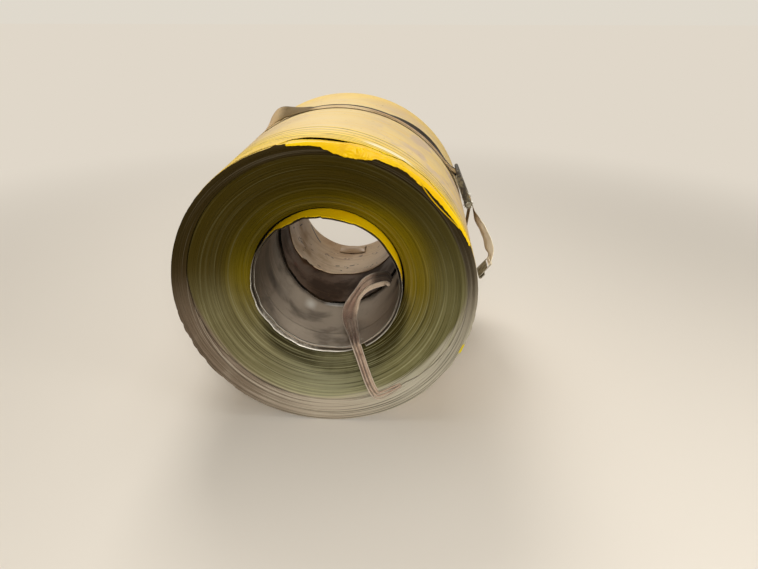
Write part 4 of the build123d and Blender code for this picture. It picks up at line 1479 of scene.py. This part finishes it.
bore_cloth = bent_sheet("bore_webbing_strap", (BORE_STEPS, WIDE_STEPS), (BORE_LENGTH, STRAP_WIDTH),
                        bore_place, forwards, BORE_THICKNESS, [bore_webbing], offset=0.0)
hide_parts("bore_strap")

# %% [markdown]
# The ratchet and the hook are plated or painted steel, dulled in patches, with rust in spots.
# One helper makes all of these finishes from three tints. Each part gets two of them: one for
# its faces, and a brighter one for its edges, where plating or paint has worn away. The grip
# is a ribbed sleeve, so its finish cuts grooves across the y axis and paints them darker, as
# shade.


# %% Finishes of the steel parts
def steel_part(name, fresh, dull, rusty, rust_from, metallic, roughness, ribs=0.0):
    """Steel with dull patches and rusty spots; ribs above 0 cuts so many grooves per metre along y, painted
    darker as shade.
    """
    made, tree, shader, place = open_material(name, metallic=metallic, roughness=roughness)
    worn = use(tree, patches, place, Scale=38.0, Low=0.42, High=0.62, Detail=5.0)["Mask"]
    spots = use(tree, patches, place, Scale=85.0, Low=rust_from, High=rust_from + 0.10, Detail=4.0)["Mask"]
    fine = grain(tree, place, 420.0, 3.0)
    color = blend(tree, worn, fresh, dull)
    color = blend(tree, spots, color, rusty)
    rough = sums(tree, "ADD", product(tree, worn, 0.25), ramp(tree, fine, 0.15, roughness - 0.12))
    covered = sums(tree, "MAXIMUM", spots, product(tree, worn, 0.5))
    metal = product(tree, sums(tree, "SUBTRACT", 1.0, covered), metallic)
    height = fine
    if ribs > 0:
        wave = sums(tree, "SINE", product(tree, axes(tree, place)[1], 2 * pi * ribs))
        height = sums(tree, "ADD", fine, product(tree, wave, 3.0))
        # The grooves are painted darker, as shade.
        grooves = blend(tree, 0.5, color, tint(10, 9, 7))
        color = blend(tree, between(tree, wave, -0.2, -0.9), color, grooves)
    finish_surface(tree, shader, color, rough, height, 0.00025, metal)
    return made


# Each is: fresh, dull and rusty tints, where rust starts, metallic, roughness, and ribs per metre.
STEEL_LOOKS = {
    "plated_steel": (tint(150, 146, 128), tint(92, 82, 62), tint(96, 56, 26), 0.58, 0.8, 0.42),
    "worn_plating": (tint(196, 192, 180), tint(150, 142, 122), tint(110, 70, 40), 0.66, 0.9, 0.34),
    "black_handle_paint": (tint(42, 34, 20), tint(98, 88, 62), tint(84, 48, 22), 0.62, 0.0, 0.46),
    "bared_handle_edge": (tint(150, 140, 118), tint(96, 82, 56), tint(98, 58, 30), 0.60, 0.7, 0.42),
    "ribbed_grip_sleeve": (tint(34, 30, 24), tint(72, 62, 46), tint(60, 48, 34), 0.60, 0.0, 0.58, 160.0),
    "hook_steel": (tint(146, 138, 110), tint(104, 94, 66), tint(88, 50, 24), 0.56, 0.55, 0.48),
    "worn_hook_edge": (tint(206, 202, 190), tint(150, 140, 118), tint(110, 70, 40), 0.64, 0.8, 0.36),
}
steel = {name: steel_part(name, *look) for name, look in STEEL_LOOKS.items()}
print("steel finishes:", ", ".join(steel))

# %% [markdown]
# The ratchet and the hook keep the solid model's shapes, because they are rigid steel parts.
# Real pressed and cut steel has no knife-sharp edges, so two modifiers round them: Weld joins
# the seams that the model file has between faces, and Bevel cuts a thin strip along each sharp
# edge. Bevel gives those strips the second material. A geometry node group then sets which
# edges stay sharp in the shading.

# %% A node group that keeps only sharp edges sharp
smooth_by_angle = bpy.data.node_groups.new("smooth_by_angle", "GeometryNodeTree")
smooth_by_angle.is_modifier = True
for way in ("INPUT", "OUTPUT"):
    smooth_by_angle.interface.new_socket("Geometry", in_out=way, socket_type="NodeSocketGeometry")
into = smooth_by_angle.nodes.new("NodeGroupInput")
out_of = smooth_by_angle.nodes.new("NodeGroupOutput")
edge_angle = smooth_by_angle.nodes.new("GeometryNodeInputMeshEdgeAngle")
steep = smooth_by_angle.nodes.new("FunctionNodeCompare")
steep.operation = "GREATER_THAN"
steep.inputs[1].default_value = radians(35)
normals = smooth_by_angle.nodes.new("GeometryNodeSetMeshNormal")
normals.mode = "SHARPNESS"
normals.inputs["Remove Custom"].default_value = True
smooth_by_angle.links.new(edge_angle.outputs["Unsigned Angle"], steep.inputs[0])
smooth_by_angle.links.new(into.outputs[0], normals.inputs["Mesh"])
smooth_by_angle.links.new(steep.outputs[0], normals.inputs["Edge Sharpness"])
smooth_by_angle.links.new(normals.outputs[0], out_of.inputs[0])
print("shading group:", len(smooth_by_angle.nodes), "nodes")


# %% Dress the steel parts
def dress(name, surface, edge, width):
    """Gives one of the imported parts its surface, and rounds its sharp edges with a worn strip."""
    part = nodes[name]
    part.data.materials.clear()
    part.data.materials.append(steel[surface])
    part.data.materials.append(steel[edge])
    seams = part.modifiers.new("seams", "WELD")
    seams.merge_threshold = 0.00001
    bevel = part.modifiers.new("edges", "BEVEL")
    bevel.width = width
    bevel.segments = 2
    bevel.limit_method = "ANGLE"
    bevel.angle_limit = radians(33)
    bevel.material = 1
    shading = part.modifiers.new("shading", "NODES")
    shading.node_group = smooth_by_angle


for name in ("ratchet_frame", "frame_bolt", "ratchet_spool", "ratchet_wheels", "release_pawl", "frame_pawl"):
    dress(name, "plated_steel", "worn_plating", 0.0006)
dress("ratchet_handle", "black_handle_paint", "bared_handle_edge", 0.0007)
dress("handle_grip", "ribbed_grip_sleeve", "ribbed_grip_sleeve", 0.0010)
dress("flat_hook", "hook_steel", "worn_hook_edge", 0.0008)
print("steel parts dressed:", ", ".join(name for name in sorted(nodes) if nodes[name].modifiers))

# %% [markdown]
# The floor is plain and pale, and belongs to the stage. Rays from the camera and from shiny
# surfaces see it pale. Other rays see it darker, so that it doesn't fill the hollow face
# with light from below. Far from the coil, where the lamps don't reach, it glows in the
# colour of the backdrop, so that no horizon shows.

# %% Floor
FLOOR = -OUTER
FLOOR_TINT = tint(224, 215, 201)
GLOW_FROM, GLOW_FULL = 2.0, 5.5


def seen_directly(tree):
    """1 for rays that come from the camera, a shiny surface or a clear one, and 0 for all others."""
    rays = add(tree, "LightPath").outputs
    through = sums(tree, "MAXIMUM", rays["Is Glossy Ray"], rays["Is Transmission Ray"])
    return sums(tree, "MAXIMUM", rays["Is Camera Ray"], through)


floor_finish, tree, shader, place = open_material("floor", roughness=0.8, Specular_IOR_Level=0.1)
seen = seen_directly(tree)
finish_surface(tree, shader, blend(tree, seen, tint(150, 140, 126), FLOOR_TINT))
x, y, z = axes(tree, place)
far_off = between(tree, distance(tree, x, y), GLOW_FROM, GLOW_FULL)
glow = add(tree, "Emission", {"Color": FLOOR_TINT, "Strength": 1.0})
mixed = add(tree, "MixShader", {0: product(tree, seen, far_off), 1: shader.outputs[0], 2: glow.outputs[0]})
tree.links.new(mixed.outputs[0], tree.nodes["Material Output"].inputs["Surface"])
bm = bmesh.new()
bmesh.ops.create_grid(bm, x_segments=1, y_segments=1, size=40.0)
bmesh.ops.translate(bm, verts=bm.verts, vec=(0, 0, FLOOR))
floor_mesh = bpy.data.meshes.new("floor")
bm.to_mesh(floor_mesh)
bm.free()
floor_mesh.materials.append(floor_finish)
floor = bpy.data.objects.new("floor", floor_mesh)
bpy.context.scene.collection.objects.link(floor)
print("floor at z", round(FLOOR, 4), "m")

# %% [markdown]
# Four large soft lamps light the coil. The one behind and above brightens its top, and the
# one right above softens that. The front lamp reaches the face without filling its hollow
# top, and the low one on the right picks out the ratchet. A weak world light fills in.


# %% Lamps and world
def lamp(name, place, target, size, power):
    """A square soft lamp that looks at a point."""
    data = bpy.data.lights.new(name, "AREA")
    data.shape = "SQUARE"
    data.size = size
    data.energy = power
    made = bpy.data.objects.new(name, data)
    made.location = place
    made.rotation_euler = (Vector(target) - Vector(place)).to_track_quat("-Z", "Y").to_euler()
    bpy.context.scene.collection.objects.link(made)


lamp("rear_lamp", (-1.2, 3.4, 4.6), (0.0, 0.0, 0.0), 2.6, 195.0)
lamp("overhead_lamp", (0.2, 0.0, 4.6), (0.0, 0.0, 0.0), 3.0, 60.0)
lamp("front_lamp", (0.9, -5.6, 2.5), (0.0, -0.5, 0.0), 2.2, 245.0)
lamp("side_lamp", (4.6, -2.4, 0.6), (0.6, 0.0, 0.0), 1.6, 75.0)
WORLD_UNSEEN, WORLD_SEEN = 0.18, 0.92
world = bpy.data.worlds.new("world")
bpy.context.scene.world = world
world.use_nodes = True
tree = world.node_tree
background = tree.nodes["Background"]
background.inputs["Color"].default_value = tint(232, 225, 212)
strength = ramp(tree, seen_directly(tree), WORLD_SEEN - WORLD_UNSEEN, WORLD_UNSEEN)
tree.links.new(strength, background.inputs["Strength"])
print("lamps:", ", ".join(data.name for data in bpy.data.lights))
